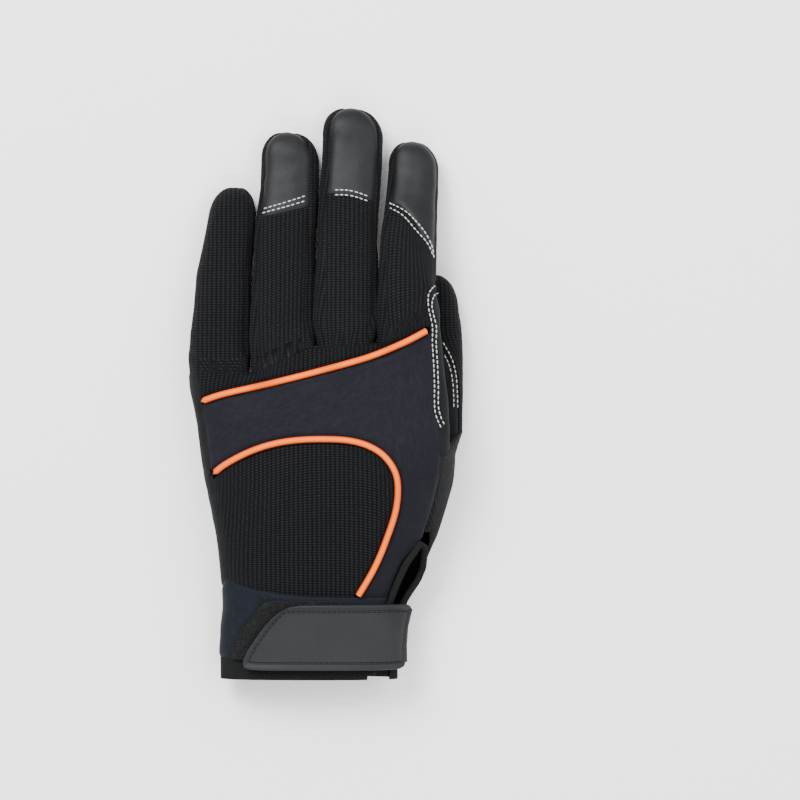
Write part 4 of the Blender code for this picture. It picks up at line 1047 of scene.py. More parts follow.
    def finger_face(self, index: int, share: float, reach: float, side: Face) -> Vector:
        """Finds a point of a finger's back or front.

        Args:
            index: The finger's number, from the little finger.
            share: Share of the way across, from 0 to 1.
            reach: Share of the way from the finger's root to its tip.
            side: The back or the palm.

        Returns:
            The point.
        """
        finger = self.fingers[index]
        ulnar = finger.ulnar_seam if side > 0 else self.palm_seam
        radial = finger.radial_seam if side > 0 else self.palm_seam
        y = self.finger_y(index, share, reach)
        own = self.finger_point(finger, y, self.angle_at(mix(-ulnar, radial, share), above=side > 0))
        point = mix(self.root_point(index, share, side), own, self.root_blend(index, reach))
        point.y = y
        return point

    def finger_side(self, index: int, share: float, reach: float, radial: bool) -> Vector:
        """Finds a point of a finger's side, from its back's seam to its front's seam.

        Args:
            index: The finger's number, from the little finger.
            share: Share of the way across, from 0 to 1.
            reach: Share of the way from the finger's root to its tip.
            radial: Whether it is the side towards the thumb.

        Returns:
            The point.
        """
        finger = self.fingers[index]
        edge = 1.0 if radial else 0.0
        back = self.finger_face(index, edge, reach, Face.BACK)
        front = self.finger_face(index, edge, reach, Face.PALM)
        first = self.angle_at(finger.radial_seam if radial else finger.ulnar_seam)
        last = -self.angle_at(self.palm_seam)

        def own(angle: float) -> Vector:
            """Finds the finger's own skin, mirrored on its other side."""
            return self.finger_point(finger, back.y, angle if radial else math.pi - angle)

        bulge = own(mix(first, last, share)) - mix(own(first), own(last), share)
        blend = self.root_blend(index, reach)
        if blend < 1 and (index == 0 and not radial or index == len(self.forks) and radial):
            skin = self.radial_skin if radial else self.ulnar_skin
            y = self.root_along(index, edge) * self.palm_length
            hand_bulge = skin(y, share) - mix(skin(y, 0.0), skin(y, 1.0), share)
            return mix(back, front, share) + mix(hand_bulge, bulge, blend)
        return mix(back, front, share) + bulge * blend

    @cache
    def tip_reaches(self, finger: Finger) -> list[float]:
        """Lists the reaches of the rows that round a fingertip off."""
        part = self.tip_rounding / finger.length
        return [1 - part * (1 - step) for step in self.tip_steps]

    @cache
    def run_reaches(self, finger: Finger, end: float) -> list[float]:
        """Lists the reaches of a finger's rows, with one row close above the root."""
        near = self.root_step / finger.length
        return [0.0] + [mix(near, end, i / self.finger_rows) for i in range(self.finger_rows + 1)]

    @cache
    def whole_reaches(self, finger: Finger) -> list[float]:
        """Lists a finger's rows to its tip, with one where its front turns to leather."""
        straight = 1 - self.tip_rounding / finger.length
        middle = mix(finger.palm_end, straight, 0.5)
        return [*self.run_reaches(finger, finger.palm_end), middle, *self.tip_reaches(finger)]

    @cache
    def back_end(self, finger: Finger, share: float) -> float:
        """Finds where a finger's back turns to leather, on a bowed line across it."""
        return mix(finger.back_ends[0], finger.back_ends[1], share * share)

    @cache
    def seam_angle(self, y: float) -> float:
        """Finds the section angle of the back's thumb-side seam, kept below the slit's top.

        Args:
            y: Place along the glove, in metres.

        Returns:
            The angle in radians.
        """
        y = max(y, self.slit_top * self.palm_length)
        centre, half_width, _, _ = self.hand_section(y)
        return self.angle_at((self.seam_x(y) - centre) / half_width)

    def radial_skin(self, y: float, across: float) -> Vector:
        """Finds the hand's skin on the thumb side.

        Args:
            y: Place along the glove, in metres.
            across: From the back's seam (0) round to the palm panel's edge (1).

        Returns:
            The point.
        """
        centre, half_width, _, _ = self.hand_section(y)
        first = self.seam_angle(y)
        last = self.angle_at((self.palm_edge_x(y) - centre) / half_width, above=False)
        start = self.hand_point(y, first)
        if y > self.slit_top * self.palm_length:
            start = self.body_point(self.seam_x(y), y, Face.BACK)
        end = self.body_point(self.palm_edge_x(y), y, Face.PALM)
        return corrected(lambda share: self.hand_point(y, mix(first, last, share)), start, end, across)

    def ulnar_skin(self, y: float, across: float) -> Vector:
        """Finds the hand's skin on the little finger's side.

        Args:
            y: Place along the glove, in metres.
            across: From the back's seam (0) round to the palm's edge (1).

        Returns:
            The point.
        """
        first = math.pi - self.angle_at(self.palm_seam)
        last = math.pi + self.angle_at(self.palm_seam)
        start = self.body_point(self.ulnar_x(y), y, Face.BACK)
        end = self.body_point(self.ulnar_x(y), y, Face.PALM)
        return corrected(lambda share: self.hand_point(y, mix(first, last, share)), start, end, across)

    @cache
    def thumb_section(self, y: float) -> Section:
        """Reads the thumb's section, rounded off towards its tip.

        Args:
            y: Place along the glove, in metres.

        Returns:
            The section there.
        """
        along = max(y - self.thumb_fork * self.palm_length, 0.0)
        centre, width, thick = follow(self.thumb_sections, along / self.thumb_length)
        scale = self.tip_scale(self.thumb_length - along)
        full = thick * self.thumb_thickness
        low = full * (1 - scale) / 2 - self.flattening
        return Section(centre * self.hand_width, width * self.thumb_width / 2 * scale, lambda x: low, full * scale)

    def thumb_point(self, y: float, angle: float) -> Vector:
        """Finds a point of the thumb's own skin."""
        return self.section_point(self.thumb_section(y), angle, y)

    def thumb_angle(self, y: float, around: float) -> float:
        """Finds the thumb's section angle at a place round it.

        Args:
            y: Place along the glove, in metres.
            around: From its upper seam (0) round under it (0.5) to its inner seam (1).

        Returns:
            The angle in radians.
        """
        share = (y / self.palm_length - self.thumb_fork) * self.palm_length / self.thumb_length
        top = follow(self.thumb_top_seam, share)[0]
        inner = follow(self.thumb_inner_seam, share)[0]
        if around < 0.5:
            return math.radians(mix(top, self.thumb_under_angle, around * 2))
        return math.radians(mix(self.thumb_under_angle, inner - 360, around * 2 - 1))

    def thumb_edge(self, y: float) -> Vector:
        """Finds the upper edge of the thumb's back: the hand's seam, the saddle's foot, then its own seam.

        Args:
            y: Place along the glove, in metres.

        Returns:
            The point.
        """
        foot, end = self.saddle_foot * self.palm_length, (self.thumb_fork + self.saddle_turn) * self.palm_length
        share = smooth_step((y - foot) / (end - foot))
        return mix(self.radial_skin(y, 0.0), self.thumb_point(y, self.thumb_angle(y, 0.0)), share)

    def thumb_inner_edge(self, y: float) -> Vector:
        """Finds the inner edge of the thumb's front: the palm's edge up to the fork, then its own seam.

        Args:
            y: Place along the glove, in metres.

        Returns:
            The point.
        """
        fork = self.thumb_fork * self.palm_length
        if y <= fork:
            return self.radial_skin(y, 1.0)
        palm = self.radial_skin(fork, 1.0)
        palm.y = y
        return mix(palm, self.thumb_point(y, self.thumb_angle(y, 1.0)), smooth_step((y - fork) / self.root_blending))

    def thumb_skin(self, y: float, around: float) -> Vector:
        """Finds the skin of the thumb and of its base, which grows out of the hand's side.

        Args:
            y: Place along the glove, in metres.
            around: From its upper seam (0) round under it (0.5) to its inner seam (1).

        Returns:
            The point.
        """
        fork = self.thumb_fork * self.palm_length
        base = self.thumb_base * self.palm_length
        blend = smooth_step((y - base) / (fork - base))

        def own(place: float) -> Vector:
            """Finds the thumb's skin before its edges are drawn to their seams."""
            lobe = self.thumb_point(y, self.thumb_angle(max(y, fork), place))
            return lobe if y >= fork else mix(self.radial_skin(y, place), lobe, blend)

        start = self.thumb_edge(y) if y < (self.thumb_fork + self.saddle_turn) * self.palm_length else own(0.0)
        end = self.thumb_inner_edge(y)
        point = own(around) + (start - own(0.0)) * max(0.0, 1 - 2 * around) ** 2
        point += (end - own(1.0)) * max(0.0, 2 * around - 1) ** 2
        point.z = max(point.z, 0.0)
        return point

    def saddle_point(self, across: float, along: float) -> Vector:
        """Finds the saddle patch: down the hand's side to the fork, then up the thumb's top.

        Args:
            across: From its outer edge (0) to its inner edge (1).
            along: From the forefinger's side (0) to the thumb's top (1).

        Returns:
            The point.
        """
        foot, fork = self.saddle_foot * self.palm_length, self.thumb_fork * self.palm_length
        after = self.saddle_split + self.saddle_web
        if self.saddle_split + WELD < along < after - WELD:
            start, end = self.saddle_point(across, self.saddle_split), self.saddle_point(across, after)
            return mix(start, end, (along - self.saddle_split) / self.saddle_web)
        if along <= self.saddle_split + WELD:
            share = along / self.saddle_split
            top = self.saddle_top * self.palm_length
            y = mix(top, mix(foot, fork, min(1.0, self.saddle_slant * across)), share)
            root = self.index_root_end * self.palm_length
            if y <= root:
                return self.radial_skin(y, across)
            finger = self.fingers[-1]
            tip = finger.root_along * self.palm_length + finger.length
            return self.finger_side(len(self.fingers) - 1, across, (y - root) / (tip - root), True)
        share = (along - self.saddle_split - self.saddle_web) / (1 - self.saddle_split - self.saddle_web)
        end = fork + self.thumb_top_seam[4][0] * self.thumb_length
        turn = self.saddle_turn * self.palm_length
        y = mix(mix(foot + turn, end, share), mix(fork, end, share), across)
        top, inner = self.thumb_angle(y, 0.0), self.thumb_angle(y, 1.0) + 2 * math.pi
        point = self.thumb_point(y, mix(top, inner, across))
        point += (self.thumb_edge(y) - self.thumb_point(y, top)) * (1 - across) ** 2
        return point + (self.thumb_inner_edge(y) - self.thumb_point(y, inner)) * across**2

    def right_edge_x(self, y: float) -> float:
        """Finds the back's edge on the thumb side: the slit's left edge, then the seam above it.

        Args:
            y: Place along the glove, in metres.

        Returns:
            The x of the edge.
        """
        if y >= self.slit_top * self.palm_length:
            return self.seam_x(y)
        edge = (*self.slit_left, SeamPoint(self.slit_top, self.radial_seam[0].across))
        return follow(edge, y / self.palm_length)[0] * self.hand_width

    def settled(self, angle_at_y: Callable[[float], float]) -> float:
        """Finds the cuff's seam where the section angle itself changes with y.

        Args:
            angle_at_y: The section angle in degrees at a y.

        Returns:
            The y of the seam.
        """
        y = self.cuff_seam[0][1] * self.palm_length
        for _ in range(self.settling):
            y = follow(self.cuff_seam, angle_at_y(y))[0] * self.palm_length
        return y

    @cache
    def cuff_seam_y(self, x: float, above: bool = True) -> float:
        """Finds the cuff's seam at a plan place.

        Args:
            x: Place across the glove, in metres.
            above: Whether it is on the back.

        Returns:
            The y of the seam.
        """

        def angle(y: float) -> float:
            """Finds the section angle in degrees that lies over x."""
            centre, half_width, _, _ = self.hand_section(y)
            return math.degrees(self.angle_at((x - centre) / half_width, above)) + (0 if above else 360)

        return self.settled(angle)

    def slit_share(self, angle: float) -> float:
        """Finds how far a section angle lies within the slit's reach."""
        return smooth_step((angle - self.slit_right_seam) / self.slit_ease_angle + 1)

    def cuff_angle(self, y: float, around: float) -> float:
        """Finds the section angle at a place round the cuff.

        Args:
            y: Place along the glove, in metres.
            around: From the slit's left edge (0) over the back and the palm to its right edge (1).

        Returns:
            The angle in degrees.
        """
        centre, half_width, _, _ = self.hand_section(y)
        first = math.degrees(self.angle_at(min((self.right_edge_x(y) - centre) / half_width, self.slit_limit)))
        last = mix(self.slit_right_hem, self.slit_right_seam, min(1.0, y / (self.slit_foot * self.palm_length)))
        return mix(first, last, around)

    def cuff_skin(self, y: float, angle: float, out: float = 0.0) -> Vector:
        """Finds the cuff's skin, or a place that stands off it.

        Args:
            y: Place along the glove, in metres.
            angle: Section angle in degrees, from the thumb side up over the back.
            out: How far off the skin it lies.

        Returns:
            The point.
        """
        step = math.radians(1.0)
        here = self.hand_point(y, math.radians(angle))
        if not out:
            return here
        along = self.hand_point(y, math.radians(angle) + step) - self.hand_point(y, math.radians(angle) - step)
        normal = Vector((along.z, 0, -along.x))
        moved = here + normal.normalized() * out
        moved.z = max(moved.z, 0.0)
        return moved


# Cutting cloth


def weave_of(points: list[Vector], columns: int, rows: int) -> list[Vector]:
    """Measures the cloth's own coordinates: lengths across from the middle column and along it.

    Args:
        points: The grid's points, row by row.
        columns: How many faces wide it is.
        rows: How many faces long it is.

    Returns:
        Across and along in metres, for each point.
    """
    wide = columns + 1
    middle = columns // 2
    found = [Vector()] * len(points)
    along = points[middle].y
    for row in range(rows + 1):
        base = row * wide
        if row:
            along += (points[base + middle] - points[base - wide + middle]).length
        start = points[base + middle].x
        across = start
        for column in range(middle, wide):
            if column > middle:
                across += (points[base + column] - points[base + column - 1]).length
            found[base + column] = Vector((across, along, 0))
        across = start
        for column in range(middle - 1, -1, -1):
            across -= (points[base + column] - points[base + column + 1]).length
            found[base + column] = Vector((across, along, 0))
    return found


def grid(columns: int, rows: int, place: Sheet, flip: bool = False) -> bmesh.types.BMesh:
    """Lays a grid of faces on a surface, with the cloth's coordinates on it.

    Args:
        columns: Faces across.
        rows: Faces along.
        place: The surface, as a function of two shares.
        flip: Whether its faces would point inwards otherwise.

    Returns:
        The grid.
    """
    bm = bmesh.new()
    bmesh.ops.create_grid(bm, x_segments=columns, y_segments=rows, size=0.5)
    weave = bm.verts.layers.float_vector.new("weave")
    order = sorted(bm.verts, key=lambda v: (round((v.co.y + 0.5) * rows), round((v.co.x + 0.5) * columns)))
    points = [place(vert.co.x + 0.5, vert.co.y + 0.5) for vert in order]
    for vert, point, cloth in zip(order, points, weave_of(points, columns, rows)):
        vert.co = point
        vert[weave] = cloth
    if flip:
        bmesh.ops.reverse_faces(bm, faces=bm.faces)
    return bm


def gather(parts: Iterable[bmesh.types.BMesh]) -> bmesh.types.BMesh:
    """Puts several bmeshes into one.

    Args:
        parts: The bmeshes, which are used up.

    Returns:
        One bmesh with all of them.
    """
    sheet = bmesh.new()
    sheet.verts.layers.float_vector.new("weave")
    for part in parts:
        mesh = bpy.data.meshes.new("piece")
        part.to_mesh(mesh)
        part.free()
        sheet.from_mesh(mesh)
        bpy.data.meshes.remove(mesh)
    return sheet


def inward_steps(bm: bmesh.types.BMesh) -> dict[int, Vector]:
    """Finds how far each border vertex moves when the border moves in by one unit.

    Args:
        bm: The sheet.

    Returns:
        A step in the sheet for each border vertex's index.
    """
    sides = {}
    for edge in bm.edges:
        if len(edge.link_faces) != 1:
            continue
        face = edge.link_faces[0]
        along = (edge.verts[1].co - edge.verts[0].co).normalized()
        step = face.normal.cross(along)
        if step.dot(face.calc_center_median() - edge.verts[0].co) < 0:
            step.negate()
        for vert in edge.verts:
            sides.setdefault(vert.index, []).append(step)
    steps = {}
    for index, found in sides.items():
        total = sum(found, Vector())
        steps[index] = total / max(1 + found[0].dot(found[-1]), 0.5) if len(found) == 2 else total
    return steps


def stamp(bm: bmesh.types.BMesh, mould: bpy.types.Mesh, place: Matrix) -> None:
    """Adds a copy of a mesh to a bmesh.

    Args:
        bm: Where it is added.
        mould: The mesh.
        place: Where the copy lies and how it is turned.
    """
    mould.transform(place)
    bm.from_mesh(mould)
    mould.transform(place.inverted())


def no_crown(u: float, v: float) -> float:
    """Leaves a plate's upper face without relief."""
    return 0.0


@dataclass(eq=False)
class SubAssembly:
    """What every part of the glove shares: its skin, the thickness of its cloths and how they meet in a seam."""

    skin: Skin
    knit_wall: float = 0.0012
    suede_wall: float = 0.0011
    neoprene_wall: float = 0.0020
    leather_wall: float = 0.0013
    binding_cord: float = 0.0030
    binding_width: float = 0.0095
    gap: float = 0.0003
    finger_columns: int = 16
    side_columns: int = 10
    cap_rows: int = 22
    seam_margin: float = -0.00022
    # Edges roll into the seams, and the cloth swells and creases
    roll_depth: float = 0.0006
    roll_reach: float = 0.0022
    swell: float = 0.0006
    swell_size: float = 0.020
    crease: float = 0.00025
    crease_size: float = 0.006
    # A cord's ends go on by this share of its radius and round off to this share, squared
    end_reach: float = 1.2
    end_least: float = 0.02
    cord_sides: int = 5

    def crumple(self, point: Vector, normal: Vector) -> Vector:
        """Adds the cloth's own unevenness, the same on both sides of a seam.

        Args:
            point: A place on the cloth.
            normal: The cloth's direction there.

        Returns:
            The moved place.
        """
        wave = noise.noise(point / self.swell_size) * self.swell
        crease = noise.noise(point / self.crease_size + Vector((7, 3, 1))) * self.crease
        return point + normal * (wave + crease)

    def shell(
        self,
        name: str,
        parts: Iterable[bmesh.types.BMesh],
        wall: float,
        finish: Finish,
        undercut: Undercut = Undercut.SEAM,
    ) -> bpy.types.Object:
        """Makes a panel: edges rolled into the seams, cloth uneven, wall on the inner side.

        Args:
            name: The frame's node that it replaces.
            parts: The grids that it is cut from.
            wall: The cloth's thickness.
            finish: What it is made of.
            undercut: How far its wall slants in at its edges.

        Returns:
            The panel's object.
        """
        bm = gather(parts)
        bmesh.ops.remove_doubles(bm, verts=bm.verts, dist=WELD)
        bmesh.ops.dissolve_degenerate(bm, dist=WELD, edges=bm.edges)
        bm.verts.index_update()
        bm.normal_update()
        steps = inward_steps(bm)
        border = KDTree(len(steps))
        outer = list(bm.verts)
        for index in steps:
            border.insert(outer[index].co, index)
        border.balance()
        normals = [vert.normal.copy() for vert in outer]
        places = {tuple(vert.co): vert.index for vert in outer}
        made = bmesh.ops.extrude_face_region(bm, geom=list(bm.faces), use_keep_orig=True)
        inner = [item for item in made["geom"] if isinstance(item, bmesh.types.BMVert)]
        for vert in inner:
            index = places[tuple(vert.co)]
            vert.co += steps.get(index, Vector()) * undercut.value * wall - normals[index] * wall
        for index, vert in enumerate(outer):
            near = border.find(vert.co)[2]
            roll = self.roll_depth * (1 - smooth_step(near / self.roll_reach)) ** 2
            vert.co = self.crumple(vert.co, normals[index]) - normals[index] * roll
            vert.co += steps.get(index, Vector()) * self.seam_margin
            vert.co.z = max(vert.co.z, 0.0)
        bmesh.ops.recalc_face_normals(bm, faces=bm.faces)
        return self.piece(name, bm, finish)

    def plate(
        self,
        name: str,
        columns: int,
        rows: int,
        low: Sheet,
        high: Sheet,
        finish: Finish,
    ) -> bpy.types.Object:
        """Makes a closed pad between two sheets that share their plan.

        Args:
            name: The frame's node that it replaces.
            columns: Faces across.
            rows: Faces along.
            low: Its lower face, as a function of two shares.
            high: Its upper face.
            finish: What it is made of.

        Returns:
            The pad's object.
        """
        bm = gather([grid(columns, rows, low), grid(columns, rows, high)])
        border = [edge for edge in bm.edges if len(edge.link_faces) == 1]
        bmesh.ops.bridge_loops(bm, edges=border)
        bmesh.ops.recalc_face_normals(bm, faces=bm.faces)
        return self.piece(name, bm, finish)

    def tube(self, name: str, points: list[Vector], radius: float, finish: Finish) -> bpy.types.Object:
        """Makes a round cord with rounded ends along a list of points.

        Args:
            name: The frame's node that it replaces.
            points: Its middle line.
            radius: Its radius.
            finish: What it is made of.

        Returns:
            The cord's object.
        """
        curve = bpy.data.curves.new(name, "CURVE")
        curve.dimensions = "3D"
        curve.bevel_depth = radius
        curve.bevel_resolution = self.cord_sides
        curve.use_fill_caps = True
        spline = curve.splines.new("POLY")
        spline.points.add(len(points) - 1)
        points = [points[0] + (points[0] - points[1]).normalized() * radius * self.end_reach, *points]
        points.append(points[-1] + (points[-1] - points[-2]).normalized() * radius * self.end_reach)
        travelled = [0.0]
        for here, ahead in zip(points, points[1:]):
            travelled.append(travelled[-1] + (ahead - here).length)
        for spot, point, reach in zip(spline.points, points, travelled):
            spot.co = (*(point + SHIFT), 1.0)
            left_over = min(reach, travelled[-1] - reach) / radius
            spot.radius = math.sqrt(max(1 - (1 - min(left_over, 1.0)) ** 2, self.end_least))
        part = bpy.data.objects.new(f"sewn_{name}", curve)
        bpy.context.scene.collection.objects.link(part)
        curve.materials.append(finish.material())
        return self.declare(part, name)

    def piece(self, name: str, bm: bmesh.types.BMesh, finish: Finish) -> bpy.types.Object:
        """Turns a bmesh into a smooth-shaded object in its place on the table.

        Args:
            name: The frame's node that it replaces.
            bm: The shape, which is used up.
            finish: What it is made of.

        Returns:
            The object.
        """
        bmesh.ops.translate(bm, vec=SHIFT, verts=bm.verts)
        mesh = bpy.data.meshes.new(name)
        bm.to_mesh(mesh)
        bm.free()
        mesh.shade_smooth()
        mesh.set_sharp_from_angle(angle=math.radians(SHARP_ANGLE))
        part = bpy.data.objects.new(f"sewn_{name}", mesh)
        bpy.context.scene.collection.objects.link(part)
        mesh.materials.append(finish.material())
        return self.declare(part, name)

    def declare(self, part: bpy.types.Object, node: str) -> bpy.types.Object:
        """Ties a finished piece to the frame, in the place of its plain one.

        Args:
            part: The piece.
            node: The frame's node.

        Returns:
            The piece.
        """
        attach(part, "root")
        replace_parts(part, node)
        LOG.info("%s", node)
        return part


@dataclass(eq=False)
class BackOfHand(SubAssembly):
    """The back: knit knuckles and fingers, a smooth band between two pipings, a knit panel below."""

    piping_diameter: float = 0.0029
    # The two pipings on the back
    upper_piping: tuple[SeamPoint, ...] = (
        SeamPoint(0.830, -0.498),
        SeamPoint(0.856, -0.394),
        SeamPoint(0.888, -0.205),
        SeamPoint(0.924, -0.014),
        SeamPoint(0.964, 0.176),
        SeamPoint(1.007, 0.319),
        SeamPoint(1.046, 0.418),
    )
    lower_piping: tuple[SeamPoint, ...] = (
        SeamPoint(0.601, -0.455),
        SeamPoint(0.641, -0.394),
        SeamPoint(0.680, -0.299),
        SeamPoint(0.705, -0.205),
        SeamPoint(0.718, -0.109),
        SeamPoint(0.722, 0.000),
        SeamPoint(0.718, 0.105),
        SeamPoint(0.700, 0.190),
        SeamPoint(0.664, 0.256),
        SeamPoint(0.606, 0.296),
        SeamPoint(0.520, 0.294),
        SeamPoint(0.425, 0.256),
        SeamPoint(0.335, 0.206),
        SeamPoint(0.246, 0.138),
    )
    knuckle_rows: int = 18
    band_columns: int = 120
    band_rows: int = 30
    band_corner: float = 0.5
    lower_columns: int = 46
    lower_rows: int = 40
    lower_corner: float = 0.62
    piping_steps: int = 160
    piping_rise: float = 0.10
    slit_ease: float = 0.010
    strip_rows: int = 64
    halvings: int = 30

    def build(self) -> None:
        """Makes each of its pieces in order."""
        self.back_knit()
        self.back_band()
        self.back_knit_lower()
        self.piping("piping_upper", self.upper_piping, bottom_end=False)
        self.piping("piping_lower", self.lower_piping, bottom_end=True)
        self.ulnar_strip()

    def piping_share(self, x: float) -> float:
        """Finds where the upper piping passes.

        Args:
            x: Place across the glove, in metres.

        Returns:
            The share along it.
        """
        first, last = (self.upper_piping[end].across * self.skin.hand_width for end in (0, -1))
        low, high = 0.0, 1.0
        for _ in range(self.halvings):
            middle = (low + high) / 2
            if self.skin.plan_curve(self.upper_piping, middle).x < min(max(x, first), last):
                low = middle
            else:
                high = middle
        return (low + high) / 2

    def back_knit(self) -> None:
        """Makes the knuckles and the backs of the fingers, notched for the strips between them."""
        shares = [column / self.finger_columns for column in range(self.finger_columns + 1)]
        stops = [(i, share) for i in range(len(self.skin.fingers)) for share in shares]
        crotch = [self.skin.root_point(index, share, Face.BACK) for index, share in stops]
        at_stop = stop_rows(crotch)
        margin = self.piping_diameter / 2 + self.gap / 2

        def knuckles(u: float, v: float) -> Vector:
            """Spreads the knuckles' cloth from the upper piping to the finger roots."""
            top = at_stop(u)
            low = self.skin.offset_curve(self.upper_piping, self.piping_share(top.x), margin)
            low.x = min(max(low.x, self.skin.ulnar_x(low.y)), self.skin.seam_x(low.y))
            if u < WELD:
                low.x = self.skin.ulnar_x(low.y)
            if u > 1 - WELD:
                low.x = self.skin.seam_x(low.y)
            spot = mix(low, top.xy, v)
            return self.skin.body_point(spot.x, spot.y, Face.BACK)

        parts = [grid(len(crotch) - 1, self.knuckle_rows, knuckles)]
        for index, finger in enumerate(self.skin.fingers):
            if index == 0:
                at_row = stop_rows(self.skin.whole_reaches(finger))
                rows = len(self.skin.whole_reaches(finger)) - 1
                skin = self.skin
                face = grid(self.finger_columns, rows, lambda u, v: skin.finger_face(0, u, at_row(v), Face.BACK))
                side = grid(self.side_columns, rows, lambda u, v: skin.finger_side(0, u, at_row(v), False), flip=True)
                parts += [face, side]
                continue

            def back(u: float, v: float, i: int = index) -> Vector:
                """Spreads a finger's back, which ends on a bowed line."""
                own = self.skin.fingers[i]
                reach = stop_rows(self.skin.run_reaches(own, self.skin.back_end(own, u)))(v)
                return self.skin.finger_face(i, u, reach, Face.BACK)

            parts.append(grid(self.finger_columns, self.skin.finger_rows + 1, back))
        self.shell("back_knit", parts, self.knit_wall, KNIT, undercut=Undercut.EDGE)

    def band_outer(self, share: float) -> Vector:
        """Follows the band's outer edge: along the upper piping, then down the seam to the cuff.

        Args:
            share: Share of the way across, from 0 to 1.

        Returns:
            The plan point.
        """
        margin = self.piping_diameter / 2 + self.gap / 2
        corner = self.skin.offset_curve(self.upper_piping, 1.0, -margin)
        if share <= self.band_corner:
            spot = self.skin.offset_curve(self.upper_piping, share / self.band_corner, -margin)
            spot.x = min(max(spot.x, self.skin.ulnar_x(spot.y)), self.skin.seam_x(spot.y))
            if share < WELD:
                spot.x = self.skin.ulnar_x(spot.y)
            if share > self.band_corner - WELD:
                spot.x = self.skin.seam_x(spot.y)
            return spot
        down = (share - self.band_corner) / (1 - self.band_corner)
        end = self.skin.cuff_seam_y(self.skin.slit_left[2].across * self.skin.hand_width)
        y = mix(corner.y, end, down)
        slit = smooth_step((self.skin.slit_top * self.skin.palm_length - y) / self.slit_ease)
        return Vector((self.skin.right_edge_x(y) - slit * (self.binding_cord / 2 + 2 * self.gap), y))

    def arch(self, share: float, side: Edge) -> Vector:
        """Follows an edge along the lower piping.

        Args:
            share: Share of the way along it.
            side: The edge outside it or inside it.

        Returns:
            The plan point.
        """
        margin = self.piping_diameter / 2 + self.gap / 2
        spot = self.skin.offset_curve(self.lower_piping, share, side * margin)
        spot.x = max(spot.x, self.skin.ulnar_x(spot.y))
        if share < WELD:
            spot.x = self.skin.ulnar_x(spot.y)
        if share > 1 - WELD:
            spot.y = self.skin.cuff_seam_y(spot.x)
        return spot

    def back_band(self) -> None:
        """Makes the smooth band between the pipings, which runs on down to the cuff beside the slit."""

        def place(u: float, v: float) -> Vector:
            """Spreads the piece's cloth."""
            spot = mix(self.arch(u, Edge.OUTER), self.band_outer(u), v)
            return self.skin.body_point(spot.x, spot.y, Face.BACK)

        self.shell("back_band", [grid(self.band_columns, self.band_rows, place)], self.neoprene_wall, NEOPRENE)

    def back_knit_lower(self) -> None:
        """Makes the knit panel under the lower piping's arch, down to the cuff's seam."""
        turn = self.lower_corner

        def place(u: float, v: float) -> Vector:
            """Spreads the piece's cloth."""
            left_bottom_x = self.skin.ulnar_x(self.skin.cuff_seam[4][1] * self.skin.palm_length)
            right_bottom = self.arch(1.0, Edge.INNER)
            bottom = Vector((mix(left_bottom_x, right_bottom.x, u), 0.0))
            bottom.y = self.skin.cuff_seam_y(bottom.x)
            top = self.arch(u * turn, Edge.INNER)
            left_y = mix(self.skin.cuff_seam_y(left_bottom_x), self.arch(0.0, Edge.INNER).y, v)
            left = Vector((self.skin.ulnar_x(left_y), left_y))
            right = self.arch(mix(1.0, turn, v), Edge.INNER)
            corners = mix(mix(Vector((left_bottom_x, self.skin.cuff_seam_y(left_bottom_x))), right_bottom, u),
                          mix(self.arch(0.0, Edge.INNER), self.arch(turn, Edge.INNER), u), v)
            spot = mix(bottom, top, v) + mix(left, right, u) - corners
            return self.skin.body_point(spot.x, spot.y, Face.BACK)

        self.shell("back_knit_lower", [grid(self.lower_columns, self.lower_rows, place)], self.knit_wall, KNIT)

    def piping(self, name: str, points: Sequence[SeamPoint], bottom_end: bool) -> None:
        """Makes a round piping between two panels, which stops short of the seams that it runs into.

        Args:
            name: The frame's node that it replaces.
            points: The seam it fills.
            bottom_end: Whether it runs down to the cuff.
        """
        margin = self.piping_diameter / 2 + self.gap
        route = []
        for step in range(self.piping_steps + 1):
            spot = self.skin.plan_curve(points, step / self.piping_steps)
            inside = spot.x > self.skin.ulnar_x(spot.y) + margin and spot.x < self.skin.seam_x(spot.y) - margin
            if inside and (not bottom_end or spot.y > self.skin.cuff_seam_y(spot.x) - self.piping_diameter):
                skin = self.skin.body_point(spot.x, spot.y, Face.BACK)
                route.append(skin + Vector((0, 0, self.piping_rise * self.piping_diameter)))
        self.tube(name, route, self.piping_diameter / 2, PIPING_SATIN_PAINTED_SHADE)

    def ulnar_strip(self) -> None:
        """Makes the plain strip along the little finger's side of the hand."""

        def place(u: float, v: float) -> Vector:
            """Spreads the piece's cloth."""
            turn = math.degrees(self.skin.angle_at(self.skin.palm_seam))
            start = self.skin.settled(lambda y: mix(180 - turn, 180 + turn, u))
            return self.skin.ulnar_skin(mix(start, self.skin.fingers[0].root_along * self.skin.palm_length, v), u)

        self.shell("ulnar_strip", [grid(self.side_columns, self.strip_rows, place, flip=True)], self.suede_wall, SUEDE)


